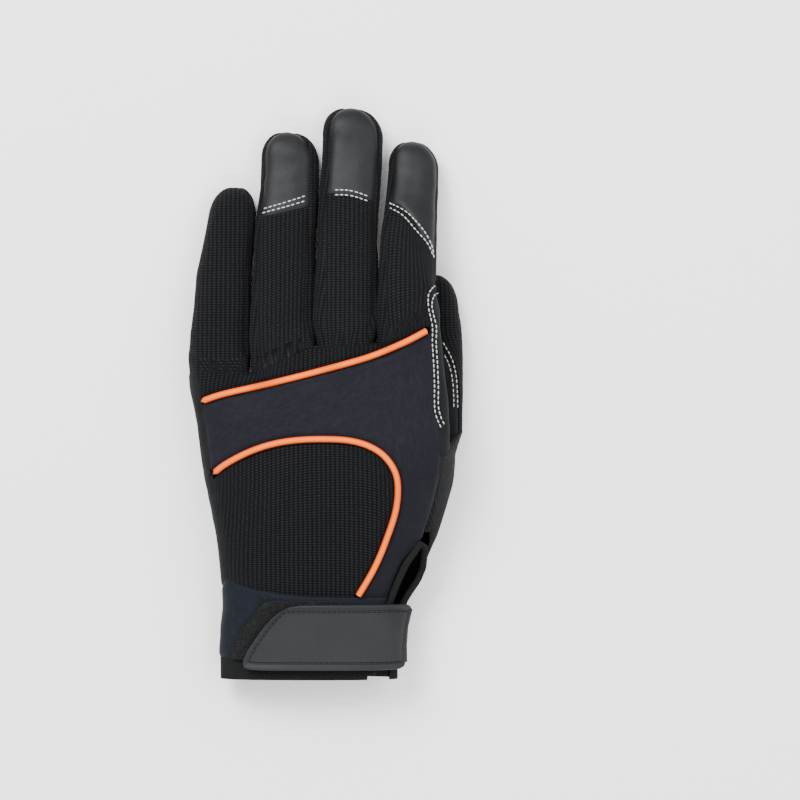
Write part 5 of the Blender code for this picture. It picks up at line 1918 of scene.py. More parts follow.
@dataclass(eq=False)
class Fingers(SubAssembly):
    """The strips between the fingers, the leather tips and the forefinger's outer side."""

    # The strips between the fingers fold into the space there, this far up
    fold_reach: float = 0.045
    fold_margin: float = 0.0004
    fold_limit: float = 0.003
    fork_columns: int = 10
    side_rows: int = 34

    def build(self) -> None:
        """Makes each of its pieces in order."""
        for index in range(len(self.skin.forks)):
            self.fourchette(index)
            self.tip_cap(index + 1)
        self.tip_patch_pinky()
        self.side_strip_index()

    def tip_cap(self, index: int) -> None:
        """Makes a fingertip's leather, from the back's seam over the tip to the front's seam.

        Args:
            index: The finger's number, from the little finger.
        """
        finger = self.skin.fingers[index]
        tip = self.skin.tip_reaches(finger)
        straight = 1 - self.skin.tip_rounding / finger.length

        def place(u: float, v: float) -> Vector:
            """Spreads the piece's cloth."""
            start, end = self.skin.back_end(finger, u), finger.palm_end
            back = [(mix(start, straight, i / self.cap_rows), Face.BACK) for i in range(self.cap_rows)]
            back += [(r, Face.BACK) for r in tip]
            front = [(r, Face.PALM) for r in reversed(tip)]
            front += [(mix(straight, end, (i + 1) / self.cap_rows), Face.PALM) for i in range(self.cap_rows)]
            return self.skin.finger_face(index, u, *stop_rows(back + front)(v))

        rows = 2 * (self.cap_rows + len(self.skin.tip_steps)) - 1
        self.shell(f"tip_cap_{finger.name}", [grid(self.finger_columns, rows, place)], self.leather_wall, LEATHER)

    def tip_patch_pinky(self) -> None:
        """Makes the leather on the little finger's pad, up to the end of its knit back."""
        finger = self.skin.fingers[0]
        tip = self.skin.tip_reaches(finger)
        straight = 1 - self.skin.tip_rounding / finger.length
        front = [(r, Face.PALM) for r in reversed(tip)]
        front += [(mix(straight, finger.palm_end, (i + 1) / self.cap_rows), Face.PALM) for i in range(self.cap_rows)]
        at_row = stop_rows([(tip[-1], Face.BACK)] + front)

        def place(u: float, v: float) -> Vector:
            """Spreads the leather from the tip down the pad."""
            return self.skin.finger_face(0, u, *at_row(v))

        self.shell("tip_patch_pinky", [grid(self.finger_columns, len(front), place)], self.leather_wall, LEATHER)

    def fork_half_width(self, index: int, y: float) -> float:
        """Measures half the space between two fingers' backs.

        Args:
            index: The fork's number, from the little finger.
            y: Place along the glove, in metres.

        Returns:
            Half the width.
        """
        edges = []
        for finger, share in ((index, 1.0), (index + 1, 0.0)):
            root, tip = self.skin.finger_y(finger, share, 0.0), self.skin.finger_y(finger, share, 1.0)
            reach = min(max((y - root) / (tip - root), 0.0), 1.0)
            edges.append(self.skin.finger_face(finger, share, reach, Face.BACK).x)
        return (edges[1] - edges[0]) / 2

    def fourchette(self, index: int) -> None:
        """Makes the knit strip between two fingers: down one side, across the fork and up the other.

        Args:
            index: The fork's number, from the little finger.
        """
        fork = self.skin.forks[index]
        rows = []
        for finger, radial in ((index, True), (index + 1, False)):
            rows.append([(finger, reach, radial) for reach in self.skin.whole_reaches(self.skin.fingers[finger])])
        at_row = stop_rows(list(reversed(rows[0])) + rows[1])
        count = len(rows[0]) + len(rows[1]) - 1

        def place(u: float, v: float) -> Vector:
            """Spreads the piece's cloth."""
            finger, reach, radial = at_row(v)
            point = self.skin.finger_side(finger, u, reach, radial)
            half = self.fork_half_width(index, point.y)
            up = reach * self.skin.fingers[finger].length
            fold = math.sin(math.pi * u) ** 0.7 * (1 - smooth_step(up / self.fold_reach))
            point.x += (1 if radial else -1) * fold * min(max(half - self.fold_margin, 0.0), self.fold_limit)
            return point

        strip = grid(self.fork_columns, count, place, flip=True)
        self.shell(f"fourchette_{fork.name}", [strip], self.knit_wall, KNIT, undercut=Undercut.FORK)

    def side_strip_index(self) -> None:
        """Makes the suede strip on the forefinger's outer side, from the saddle patch to the tip."""
        finger = self.skin.fingers[-1]
        root = self.skin.index_root_end * self.skin.palm_length
        tip = finger.root_along * self.skin.palm_length + finger.length
        start = (self.skin.saddle_top * self.skin.palm_length - root) / (tip - root)
        straight = 1 - self.skin.tip_rounding / finger.length
        reaches = [mix(start, straight, i / self.side_rows) for i in range(self.side_rows)]
        reaches += self.skin.tip_reaches(finger)
        at_row = stop_rows(reaches)

        def place(u: float, v: float) -> Vector:
            """Spreads the strip up the forefinger's outer side."""
            return self.skin.finger_side(len(self.skin.fingers) - 1, u, at_row(v), True)

        self.shell("side_strip_index", [grid(self.side_columns, len(reaches) - 1, place)], self.suede_wall, SUEDE)


@dataclass(eq=False)
class Palm(SubAssembly):
    """The suede palm and its three stuffed pads."""

    inner_thickness: float = 0.0009
    # The wave-shaped pad: share along it, across of hand_width, low and high edge of palm_length
    knuckle_pad: tuple[tuple[float, float, float, float], ...] = (
        (0.00, -0.470, 0.815, 0.862),
        (0.08, -0.410, 0.820, 0.905),
        (0.20, -0.300, 0.832, 0.862),
        (0.33, -0.160, 0.845, 0.945),
        (0.46, -0.035, 0.850, 0.900),
        (0.60, 0.070, 0.852, 0.985),
        (0.76, 0.185, 0.856, 0.915),
        (0.90, 0.285, 0.862, 0.975),
        (1.00, 0.335, 0.868, 0.960),
    )
    heel_pad: PadShape = PadShape(-0.050, 0.575, 0.290, 0.225, 0.060, 1.06)
    inner_pad: PadShape = PadShape(-0.120, 0.560, 0.140, 0.150, 0.040, 1.06)
    pad_edge: float = 0.35
    palm_rows: int = 64
    row_crowding: float = 1.5
    wave_columns: int = 120
    disc_columns: int = 60
    pad_rows: int = 30

    def build(self) -> None:
        """Makes each of its pieces in order."""
        skin = self.skin
        self.palm_panel()
        self.palm_pad("pad_knuckle", self.wave_columns, self.wave_outline, skin.pad_seat, skin.pad_thickness)
        heel = self.disc_outline(self.heel_pad)
        self.palm_pad("pad_heel", self.disc_columns, heel, skin.pad_seat, skin.pad_thickness)
        under = 2 * skin.pad_seat + skin.pad_thickness
        inner = self.disc_outline(self.inner_pad)
        self.palm_pad("pad_inner", self.disc_columns, inner, under, self.inner_thickness)

    def palm_panel(self) -> None:
        """Makes the suede palm with the fronts of the four fingers, up to their leather tips."""
        shares = [column / self.finger_columns for column in range(self.finger_columns + 1)]
        stops = [(i, share) for i in range(len(self.skin.fingers)) for share in shares]
        at_stop = stop_rows([self.skin.root_point(index, share, Face.PALM) for index, share in stops])

        def body(u: float, v: float) -> Vector:
            """Spreads the palm from the cuff's seam to the finger roots."""
            top = at_stop(u)
            left = self.skin.ulnar_x(top.y)
            right = self.skin.palm_edge_x(self.skin.index_root_end * self.skin.palm_length)
            share = (top.x - left) / (right - left)
            rise = 1 - (1 - v) ** self.row_crowding
            y = self.skin.palm_edge[0].along * self.skin.palm_length
            for _ in range(self.skin.settling):
                x = mix(self.skin.ulnar_x(y), self.skin.palm_edge_x(y), mix(u, share, smooth_step(v)))
                y = mix(self.skin.cuff_seam_y(x, False), top.y, rise)
            if v > 1 - WELD:
                x = top.x
            return self.skin.body_point(x, y, Face.PALM)

        parts = [grid(len(stops) - 1, self.palm_rows, body, flip=True)]
        for index, finger in enumerate(self.skin.fingers):
            at_row = stop_rows(self.skin.run_reaches(finger, finger.palm_end))

            def front(u: float, v: float, i: int = index, at: Callable[[float], float] = at_row) -> Vector:
                """Spreads a finger's front."""
                return self.skin.finger_face(i, u, at(v), Face.PALM)

            parts.append(grid(self.finger_columns, self.skin.finger_rows + 1, front, flip=True))
        self.shell("palm_panel", parts, self.suede_wall, SUEDE, undercut=Undercut.FORK)

    def palm_pad(self, name: str, columns: int, outline: Sheet, seat: float, thickness: float) -> None:
        """Makes a stuffed pad under the palm.

        Args:
            name: The frame's node that it replaces.
            columns: Faces across it.
            outline: Its plan, as a function of two shares.
            seat: How far below the palm's skin it starts.
            thickness: How thick it is in its middle.
        """

        def face(u: float, v: float, depth: float, floor: float) -> Vector:
            """Finds the pad's face at a depth below its seat, no lower than a floor."""
            spot = outline(u, v)
            skin = self.skin.body_point(spot.x, spot.y, Face.PALM)
            skin.z = max(floor, skin.z - seat - depth)
            return skin

        def low(u: float, v: float) -> Vector:
            """Thins the stuffing towards the pad's edge."""
            edge = max(abs(2 * u - 1), abs(2 * v - 1)) ** 3
            return face(u, v, thickness * mix(1.0, self.pad_edge, edge), 0.0)

        def high(u: float, v: float) -> Vector:
            """Keeps the upper face at its seat."""
            return face(u, v, 0.0, self.skin.pad_seat)

        self.plate(name, columns, self.pad_rows, low, high, PAD_LEATHER)

    def disc_spot(self, shape: PadShape, x: float, y: float) -> Vector:
        """Finds a plan point of a rounded pad."""
        centre = self.skin.plan(shape.across, shape.along)
        return centre + self.skin.plan(x * shape.half_width + y * shape.lean, y * shape.half_length)

    def disc_outline(self, shape: PadShape) -> Sheet:
        """Gives a rounded pad's plan.

        Args:
            shape: The pad's shape.

        Returns:
            Its plan, as a function of two shares.
        """

        def outline(u: float, v: float) -> Vector:
            """Rounds a square into the pad's plan."""
            a, b = 2 * u - 1, 2 * v - 1
            x = a * math.sqrt(1 - b * b / 2)
            y = b * math.sqrt(1 - a * a / 2)
            stretch = mix(1.0, shape.squareness, abs(a * b))
            return self.disc_spot(shape, x * stretch, y * stretch)

        return outline

    def wave_outline(self, u: float, v: float) -> Vector:
        """Gives the knuckle pad's plan."""
        row = follow(self.knuckle_pad, u)
        return self.skin.plan(row[0], mix(row[1], row[2], v))


@dataclass(eq=False)
class Thumb(SubAssembly):
    """The thumb, folded under the forefinger's side, and the suede saddle in its fork."""

    thumb_patch_start: float = 0.52
    thumb_columns: int = 20
    thumb_base_rows: int = 36
    lobe_rows: int = 36
    saddle_columns: int = 20
    saddle_rows: int = 80

    def build(self) -> None:
        """Makes each of its pieces in order."""
        self.thumb_panels()
        self.saddle_patch()

    @cache
    def thumb_start(self, around: float) -> float:
        """Finds where the thumb's panels start: the cuff's seam, then up beside the slit's cord.

        Args:
            around: From its upper seam (0) round under it to its inner seam (1).

        Returns:
            The y place.
        """
        cord = self.binding_cord / 2 + self.gap

        def beside(y: float) -> float:
            """Finds the section angle in degrees, eased out beside the slit."""
            centre, half_width, _, _ = self.skin.hand_section(y)
            last = self.skin.angle_at((self.skin.palm_edge_x(y) - centre) / half_width, above=False)
            angle = 360 + math.degrees(mix(self.skin.seam_angle(y), last, around))
            return angle + self.skin.slit_ease_angle * self.skin.slit_share(angle)

        y = self.skin.settled(beside)
        return y + cord * self.skin.slit_share(beside(y))

    @cache
    def thumb_rows(self, around: float, first: float | None, last: float | None) -> list[float]:
        """Lists the places of the thumb's rows.

        Args:
            around: From its upper seam (0) round under it to its inner seam (1).
            first: Share of the thumb's length at which they start, or None for the cuff.
            last: Share at which they end, or None for the tip.

        Returns:
            The y places.
        """
        foot, fork = self.skin.saddle_foot * self.skin.palm_length, self.skin.thumb_fork * self.skin.palm_length
        turn = fork + self.skin.saddle_turn * self.skin.palm_length
        straight = fork + self.skin.thumb_length - self.skin.tip_rounding
        tip = [straight + self.skin.tip_rounding * step for step in self.skin.tip_steps]
        if first is not None:
            start = fork + first * self.skin.thumb_length
            return [mix(start, straight, i / self.cap_rows) for i in range(self.cap_rows)] + tip
        start, count = self.thumb_start(around), self.thumb_base_rows
        low = [mix(start, foot, i / count) for i in range(count)] + [foot, fork]
        if last is None:
            return low + [mix(turn, straight, i / self.lobe_rows) for i in range(self.lobe_rows)] + tip
        end = fork + last * self.skin.thumb_length
        return low + [mix(turn, end, i / self.lobe_rows) for i in range(self.lobe_rows + 1)]

    def thumb_panels(self) -> None:
        """Makes the knit back of the thumb, its suede front, and the leather on its pad."""
        count = len(self.thumb_rows(0.0, None, None)) - 1

        def back(u: float, v: float) -> Vector:
            """Spreads the outer half of the thumb."""
            return self.skin.thumb_skin(stop_rows(self.thumb_rows(u / 2, None, None))(v), u / 2)

        self.shell("thumb_back", [grid(self.thumb_columns, count, back)], self.knit_wall, KNIT, Undercut.EDGE)

        count = len(self.thumb_rows(1.0, None, self.thumb_patch_start)) - 1

        def front(u: float, v: float) -> Vector:
            """Spreads the inner half, up to the leather on its pad."""
            around = 0.5 + u / 2
            rows = self.thumb_rows(around, None, self.thumb_patch_start)
            return self.skin.thumb_skin(stop_rows(rows)(v), around)

        self.shell("thumb_front", [grid(self.thumb_columns, count, front)], self.suede_wall, SUEDE, Undercut.EDGE)

        def patch(u: float, v: float) -> Vector:
            """Spreads the leather up the pad and over the tip."""
            rows = [(y, 0.5 + u / 2) for y in self.thumb_rows(1.0, self.thumb_patch_start, None)]
            rows.append((rows[-1][0], 0.5 - u / 2))
            y, around = stop_rows(rows)(v)
            return self.skin.thumb_skin(y, around)

        count = self.cap_rows + len(self.skin.tip_steps)
        self.shell("thumb_tip", [grid(self.thumb_columns, count, patch)], self.leather_wall, LEATHER)

    def saddle_patch(self) -> None:
        """Makes the suede patch in the fork of thumb and forefinger."""
        patch = grid(self.saddle_columns, self.saddle_rows, self.skin.saddle_point, flip=True)
        self.shell("saddle_patch", [patch], self.suede_wall, SUEDE, Undercut.FORK)


@dataclass(eq=False)
class Cuff(SubAssembly):
    """The foam cuff, the binding round its hem and the binding round its slit."""

    cuff_wall: float = 0.0020
    binding_wall: float = 0.0026
    cuff_columns: int = 150
    cuff_rows: int = 26
    slit_steps: int = 40
    slit_search: float = 0.2

    def build(self) -> None:
        """Makes each of its pieces in order."""
        self.cuff()
        self.slit_binding()

    @cache
    def drawn_back(self, y: float, angle: float, turn: int) -> float:
        """Turns a place on the cuff away from the slit's edge until it clears the cord there.

        Args:
            y: Place along the glove, in metres.
            angle: Section angle in degrees, from the thumb side up over the back.
            turn: 1 or -1, the way to turn.

        Returns:
            The angle in degrees.
        """
        edge = self.skin.cuff_skin(y, angle)
        while (self.skin.cuff_skin(y, angle) - edge).length < self.binding_cord / 2 + 2 * self.gap:
            angle += turn * self.slit_search
        return angle

    @cache
    def ring_angle(self, y: float, around: float) -> float:
        """Finds the section angle round a cuff ring, whose ends keep clear of the slit's cord.

        Args:
            y: Place along the glove, in metres.
            around: Share of the way round.

        Returns:
            The angle in degrees.
        """
        left = self.drawn_back(y, self.skin.cuff_angle(y, 0.0), 1)
        right = self.drawn_back(y, self.skin.cuff_angle(y, 1.0), -1)
        return mix(left, right, around)

    def cuff_ring(
        self,
        name: str,
        low: float,
        high: Callable[[float], float],
        rows: int,
        wall: float,
        finish: Finish,
    ) -> None:
        """Makes a strip of the cuff between two heights, open at the slit.

        Args:
            name: The frame's node that it replaces.
            low: Its lower edge.
            high: Its upper edge, as a function of the share round it.
            rows: Faces up it.
            wall: Its thickness.
            finish: What it is made of.
        """

        def place(u: float, v: float) -> Vector:
            """Spreads the piece's cloth."""
            y = mix(low, high(u), v)
            return self.skin.cuff_skin(y, self.ring_angle(y, u))

        self.shell(name, [grid(self.cuff_columns, rows, place, flip=True)], wall, finish)

    def cuff(self) -> None:
        """Makes the neoprene cuff and the binding round its lower edge."""

        def seam(around: float) -> float:
            """Finds the cuff's upper seam round the wrist."""
            return self.skin.settled(lambda y: self.ring_angle(y, around))

        self.cuff_ring("cuff_band", self.binding_width, seam, self.cuff_rows, self.cuff_wall, CUFF_NEOPRENE)
        self.cuff_ring("hem_binding", 0.0, lambda around: self.binding_width, 1, self.binding_wall, TAPE)

    def slit_binding(self) -> None:
        """Makes the binding round the slit, up its left edge and down its right."""
        top = self.skin.slit_top * self.skin.palm_length - self.binding_cord
        route = []
        for step in range(self.slit_steps + 1):
            y = mix(self.binding_cord, top, step / self.slit_steps)
            x = self.skin.right_edge_x(y)
            route.append(self.skin.body_point(x, y, Face.BACK))
        foot = self.skin.slit_foot * self.skin.palm_length
        for angle in (self.skin.cuff_seam[-1][0] - self.skin.slit_ease_angle * step for step in range(1, 3)):
            y = follow(self.skin.cuff_seam, angle)[0] * self.skin.palm_length
            route.append(self.skin.hand_point(y, math.radians(angle)))
        for step in range(self.slit_steps, -1, -1):
            y = mix(self.binding_cord, foot, step / self.slit_steps)
            route.append(self.skin.cuff_skin(y, self.skin.cuff_angle(y, 1.0)))
        self.tube("slit_binding", route, self.binding_cord / 2, TAPE)


@dataclass(eq=False)
class Closing(SubAssembly):
    """The loop patch with its pile, the strap and the moulded tab that close the cuff."""

    loop_thickness: float = 0.0012
    tab_thickness: float = 0.0026
    tab_rim_height: float = 0.0005
    strap_width: float = 0.0230
    strap_thickness: float = 0.0014
    # Where the closing lies: shares of hand_width and palm_length, and section angles in degrees
    loop_left: float = -0.370
    loop_top_left: float = -0.255
    loop_right: float = 0.080
    loop_low: float = 0.060
    loop_high: float = 0.236
    tab_left: float = -0.325
    tab_top_left: float = -0.165
    tab_low: float = 0.030
    tab_high: float = 0.226
    tab_right_angle: float = 14.0
    strap_gap: float = 2.0
    strap_end_angle: float = -38.0
    corner_rounding: float = 0.08
    loop_columns: int = 60
    tab_columns: int = 240
    tab_rows: int = 96
    tab_size: tuple[float, float] = (0.072, 0.0283)
    # The tab's raised rim and the groove inside it, which is sewn
    rim_width: float = 0.0011
    rim_fall: float = 0.0005
    rim_rounding: float = 0.0006
    groove_inset: float = 0.0029
    groove_half_width: float = 0.0006
    groove_depth: float = 0.0006
    groove_steps: int = 200
    # The pile of the loop patch: how many loops, their radius and their thread's
    loops: int = 3200
    loop_radius: float = 0.00035
    loop_thread: float = 0.00006

    def build(self) -> list[Vector]:
        """Makes each of its pieces in order.

        Returns:
            The tab's groove, as a closed line of points.
        """
        self.loop_patch()
        groove = self.tab()
        self.strap()
        return groove

    def loop_patch(self) -> None:
        """Makes the loop patch on the back of the cuff, with its pile."""
        low, high = self.loop_low * self.skin.palm_length, self.loop_high * self.skin.palm_length
        left, top = (self.back_angle(share * self.skin.hand_width) for share in (self.loop_left, self.loop_top_left))
        right = self.back_angle(self.loop_right * self.skin.hand_width)
        corners = ((left, low), (right, low), (top, high), (right, high))
        patch, _ = self.cuff_plate("loop_pad", corners, self.gap, self.loop_thickness, self.loop_columns, 2, PILE)
        self.pile(patch)

    def tab_relief(self, u: float, v: float) -> float:
        """Gives the tab its raised rim, rounded edge and groove.

        Args:
            u: Share across the tab.
            v: Share up the tab.

        Returns:
            The relief's height.
        """
        inset = min(min(u, 1 - u) * self.tab_size[0], min(v, 1 - v) * self.tab_size[1])
        edge = self.tab_rim_height * (1 - smooth_step((inset - self.rim_width) / self.rim_fall))
        corner = self.rim_rounding * max(0.0, 1 - inset / self.rim_rounding) ** 2
        off = abs(inset - self.groove_inset) / self.groove_half_width
        return edge - corner - self.groove_depth * max(0.0, 1 - off**2)

    def tab(self) -> list[Vector]:
        """Makes the moulded tab.

        Returns:
            Its groove, as a closed line of points.
        """
        low, high = self.tab_low * self.skin.palm_length, self.tab_high * self.skin.palm_length
        left, top = (self.back_angle(share * self.skin.hand_width) for share in (self.tab_left, self.tab_top_left))
        right = self.tab_right_angle
        corners = ((left, low), (right, low), (top, high), (right, high))
        out = 2 * self.gap + self.loop_thickness
        size = (self.tab_columns, self.tab_rows)
        _, face = self.cuff_plate("strap_tab", corners, out, self.tab_thickness, *size, RUBBER, self.tab_relief)
        u, v = self.groove_inset / self.tab_size[0], self.groove_inset / self.tab_size[1]
        turns = ((u, v), (1 - u, v), (1 - u, 1 - v), (u, 1 - v), (u, v))
        groove = []
        steps = self.groove_steps
        for here, ahead in zip(turns, turns[1:]):
            groove += [face(mix(here[0], ahead[0], i / steps), mix(here[1], ahead[1], i / steps)) for i in range(steps)]
        return groove

    def strap(self) -> None:
        """Makes the woven strap from the tab round to the palm side of the cuff."""
        middle = mix(self.tab_low, self.tab_high, 0.5) * self.skin.palm_length
        low, high = middle - self.strap_width / 2, middle + self.strap_width / 2
        start, end = self.tab_right_angle - self.strap_gap, self.strap_end_angle
        corners = ((start, low), (end, low), (start, high), (end, high))
        out = self.binding_cord / 2 + 2 * self.gap
        self.cuff_plate("strap", corners, out, self.strap_thickness, self.tab_columns, 3, TAPE)

    def pile(self, patch: bpy.types.Object) -> None:
        """Covers the loop patch with small half rings of thread, each turned at random.

        Args:
            patch: The loop patch's finished object.
        """
        mould = bmesh.new()
        ring = bmesh.ops.create_circle(mould, segments=4, radius=self.loop_thread)["verts"]
        bmesh.ops.translate(mould, vec=(self.loop_radius, 0, 0), verts=ring)
        geometry = mould.verts[:] + mould.edges[:]
        bmesh.ops.spin(mould, geom=geometry, cent=(0, 0, 0), axis=(0, -1, 0), angle=math.pi, steps=6)
        loop = bpy.data.meshes.new("loop")
        mould.to_mesh(loop)
        mould.free()
        faces = [face for face in patch.data.polygons if face.normal.z > 0.3]
        chance = random.Random(3)
        picked = chance.choices(faces, weights=[face.area for face in faces], k=self.loops)
        bm = bmesh.new()
        for face in picked:
            corners = [patch.data.vertices[i].co for i in face.vertices]
            a, b = chance.random(), chance.random()
            spot = mix(mix(corners[0], corners[1], a), mix(corners[-1], corners[2], a), b)
            lean = face.normal + Vector((chance.uniform(-0.5, 0.5), chance.uniform(-0.5, 0.5), 0))
            twist = Matrix.Rotation(chance.uniform(0, math.tau), 3, "Z")
            turn = lean.to_track_quat("Z", "Y").to_matrix() @ twist
            stamp(bm, loop, Matrix.Translation(spot) @ turn.to_4x4())
        link_sewn("loop_pile", bm, PILE)

    def back_angle(self, x: float) -> float:
        """Finds the cuff's section angle on its back."""
        centre, half_width, _, _ = self.skin.hand_section(self.binding_width)
        return math.degrees(self.skin.angle_at((x - centre) / half_width))

    def cuff_plate(
        self,
        name: str,
        corners: Corners,
        out: float,
        thickness: float,
        columns: int,
        rows: int,
        finish: Finish,
        crown: Callable[[float, float], float] = no_crown,
    ) -> tuple[bpy.types.Object, Sheet]:
        """Makes a plate that follows the cuff.

        Args:
            name: The frame's node that it replaces.
            corners: Angle and y at its lower left, lower right, upper left and upper right.
            out: How far off the cuff it starts.
            thickness: How thick it is.
            columns: Faces across.
            rows: Faces along.
            finish: What it is made of.
            crown: Relief on its upper face, as a function of two shares.

        Returns:
            Its object, and its upper face as a function of two shares.
        """
        low_left, low_right, high_left, high_right = corners

        def place(u: float, v: float, height: float) -> Vector:
            """Finds a place of the plate, with rounded corners, at a height off the cuff."""
            a, b = 2 * u - 1, 2 * v - 1
            u = 0.5 + a / 2 * (1 - self.corner_rounding * abs(b) ** 6)
            v = 0.5 + b / 2 * (1 - self.corner_rounding * abs(a) ** 12)
            angle = mix(mix(low_left[0], low_right[0], u), mix(high_left[0], high_right[0], u), v)
            y = mix(mix(low_left[1], low_right[1], u), mix(high_left[1], high_right[1], u), v)
            return self.skin.cuff_skin(y, angle, height)

        def low(u: float, v: float) -> Vector:
            """Finds its lower face."""
            return place(u, v, out)

        def high(u: float, v: float) -> Vector:
            """Finds its upper face."""
            return place(u, v, out + thickness + crown(u, v))

        return self.plate(name, columns, rows, low, high, finish), high


# Stitches

# The rows of pale stitches that show on the back: at the knuckles, down the thumb side and on the saddle
BACK_SEAMS = (
    Seam(Face.BACK, ((-26.4, 204.2), (-16, 207.2), (-7.9, 209.9))),
    Seam(Face.BACK, ((-26.8, 202.4), (-16, 205.2), (-7.9, 207.7))),
    Seam(Face.BACK, ((4.0, 212.5), (11.9, 212.1), (20.7, 209.4))),
    Seam(Face.BACK, ((4.0, 210.3), (11.9, 209.9), (20.7, 207.2))),
    Seam(Face.BACK, ((28.2, 207.2), (36.1, 202.8), (43.1, 195.4), (47.1, 188.3), (48.4, 181.3))),
    Seam(Face.BACK, ((28.6, 205.0), (34.8, 201.1), (40.5, 194.5), (45.8, 188.3), (48.0, 183.0))),
    Seam(Face.BACK, ((50.2, 171.6), (47.5, 169.4), (45.8, 166.3), (45.8, 161.0), (46.6, 157.1), (47.5, 152.7),
                     (47.5, 145.6), (48.0, 137.7), (48.4, 128.0), (48.4, 117.9), (49.3, 113.5), (51.5, 108.7))),
    Seam(Face.BACK, ((51.4, 168.0), (48.9, 166.9), (47.4, 163.5), (47.4, 160.5), (48.2, 156.8), (49.1, 152.7),
                     (49.1, 145.6), (49.6, 137.7), (50.0, 128.0), (50.1, 118.4), (51.0, 114.3), (52.8, 110.0))),
    Seam(Face.BACK, ((51.2, 147.8), (53.6, 143.9), (56.4, 138.2), (57.9, 132.0), (58.5, 124.1), (58.6, 117.0))),
    Seam(Face.BACK, ((52.4, 142.0), (54.8, 136.4), (56.2, 130.8), (56.8, 124.1), (56.9, 118.0))),
)
# The double row that hooks round on the palm, below the forefinger
PALM_SEAMS = (
    Seam(Face.PALM, ((34.32, 126.5), (34.32, 120.934), (37.68, 112.838), (35.76, 107.272), (31.92, 105.754),
                     (28.56, 107.272))),
    Seam(Face.PALM, ((36.24, 127.006), (36.24, 121.44), (39.6, 112.838), (37.2, 105.754), (32.4, 103.73),
                     (28.08, 105.248))),
)


def link_sewn(name: str, bm: bmesh.types.BMesh, finish: Finish) -> bpy.types.Object:
    """Turns a bmesh of threads into an object that rides on the glove.

    Args:
        name: The object's name.
        bm: The threads, which are used up.
        finish: What they are made of.

    Returns:
        The object.
    """
    mesh = bpy.data.meshes.new(name)
    bm.to_mesh(mesh)
    bm.free()
    mesh.shade_smooth()
    mesh.materials.append(finish.material())
    part = bpy.data.objects.new(name, mesh)
    bpy.context.scene.collection.objects.link(part)
    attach(part, "root")
    LOG.info("%s", name)
    return part


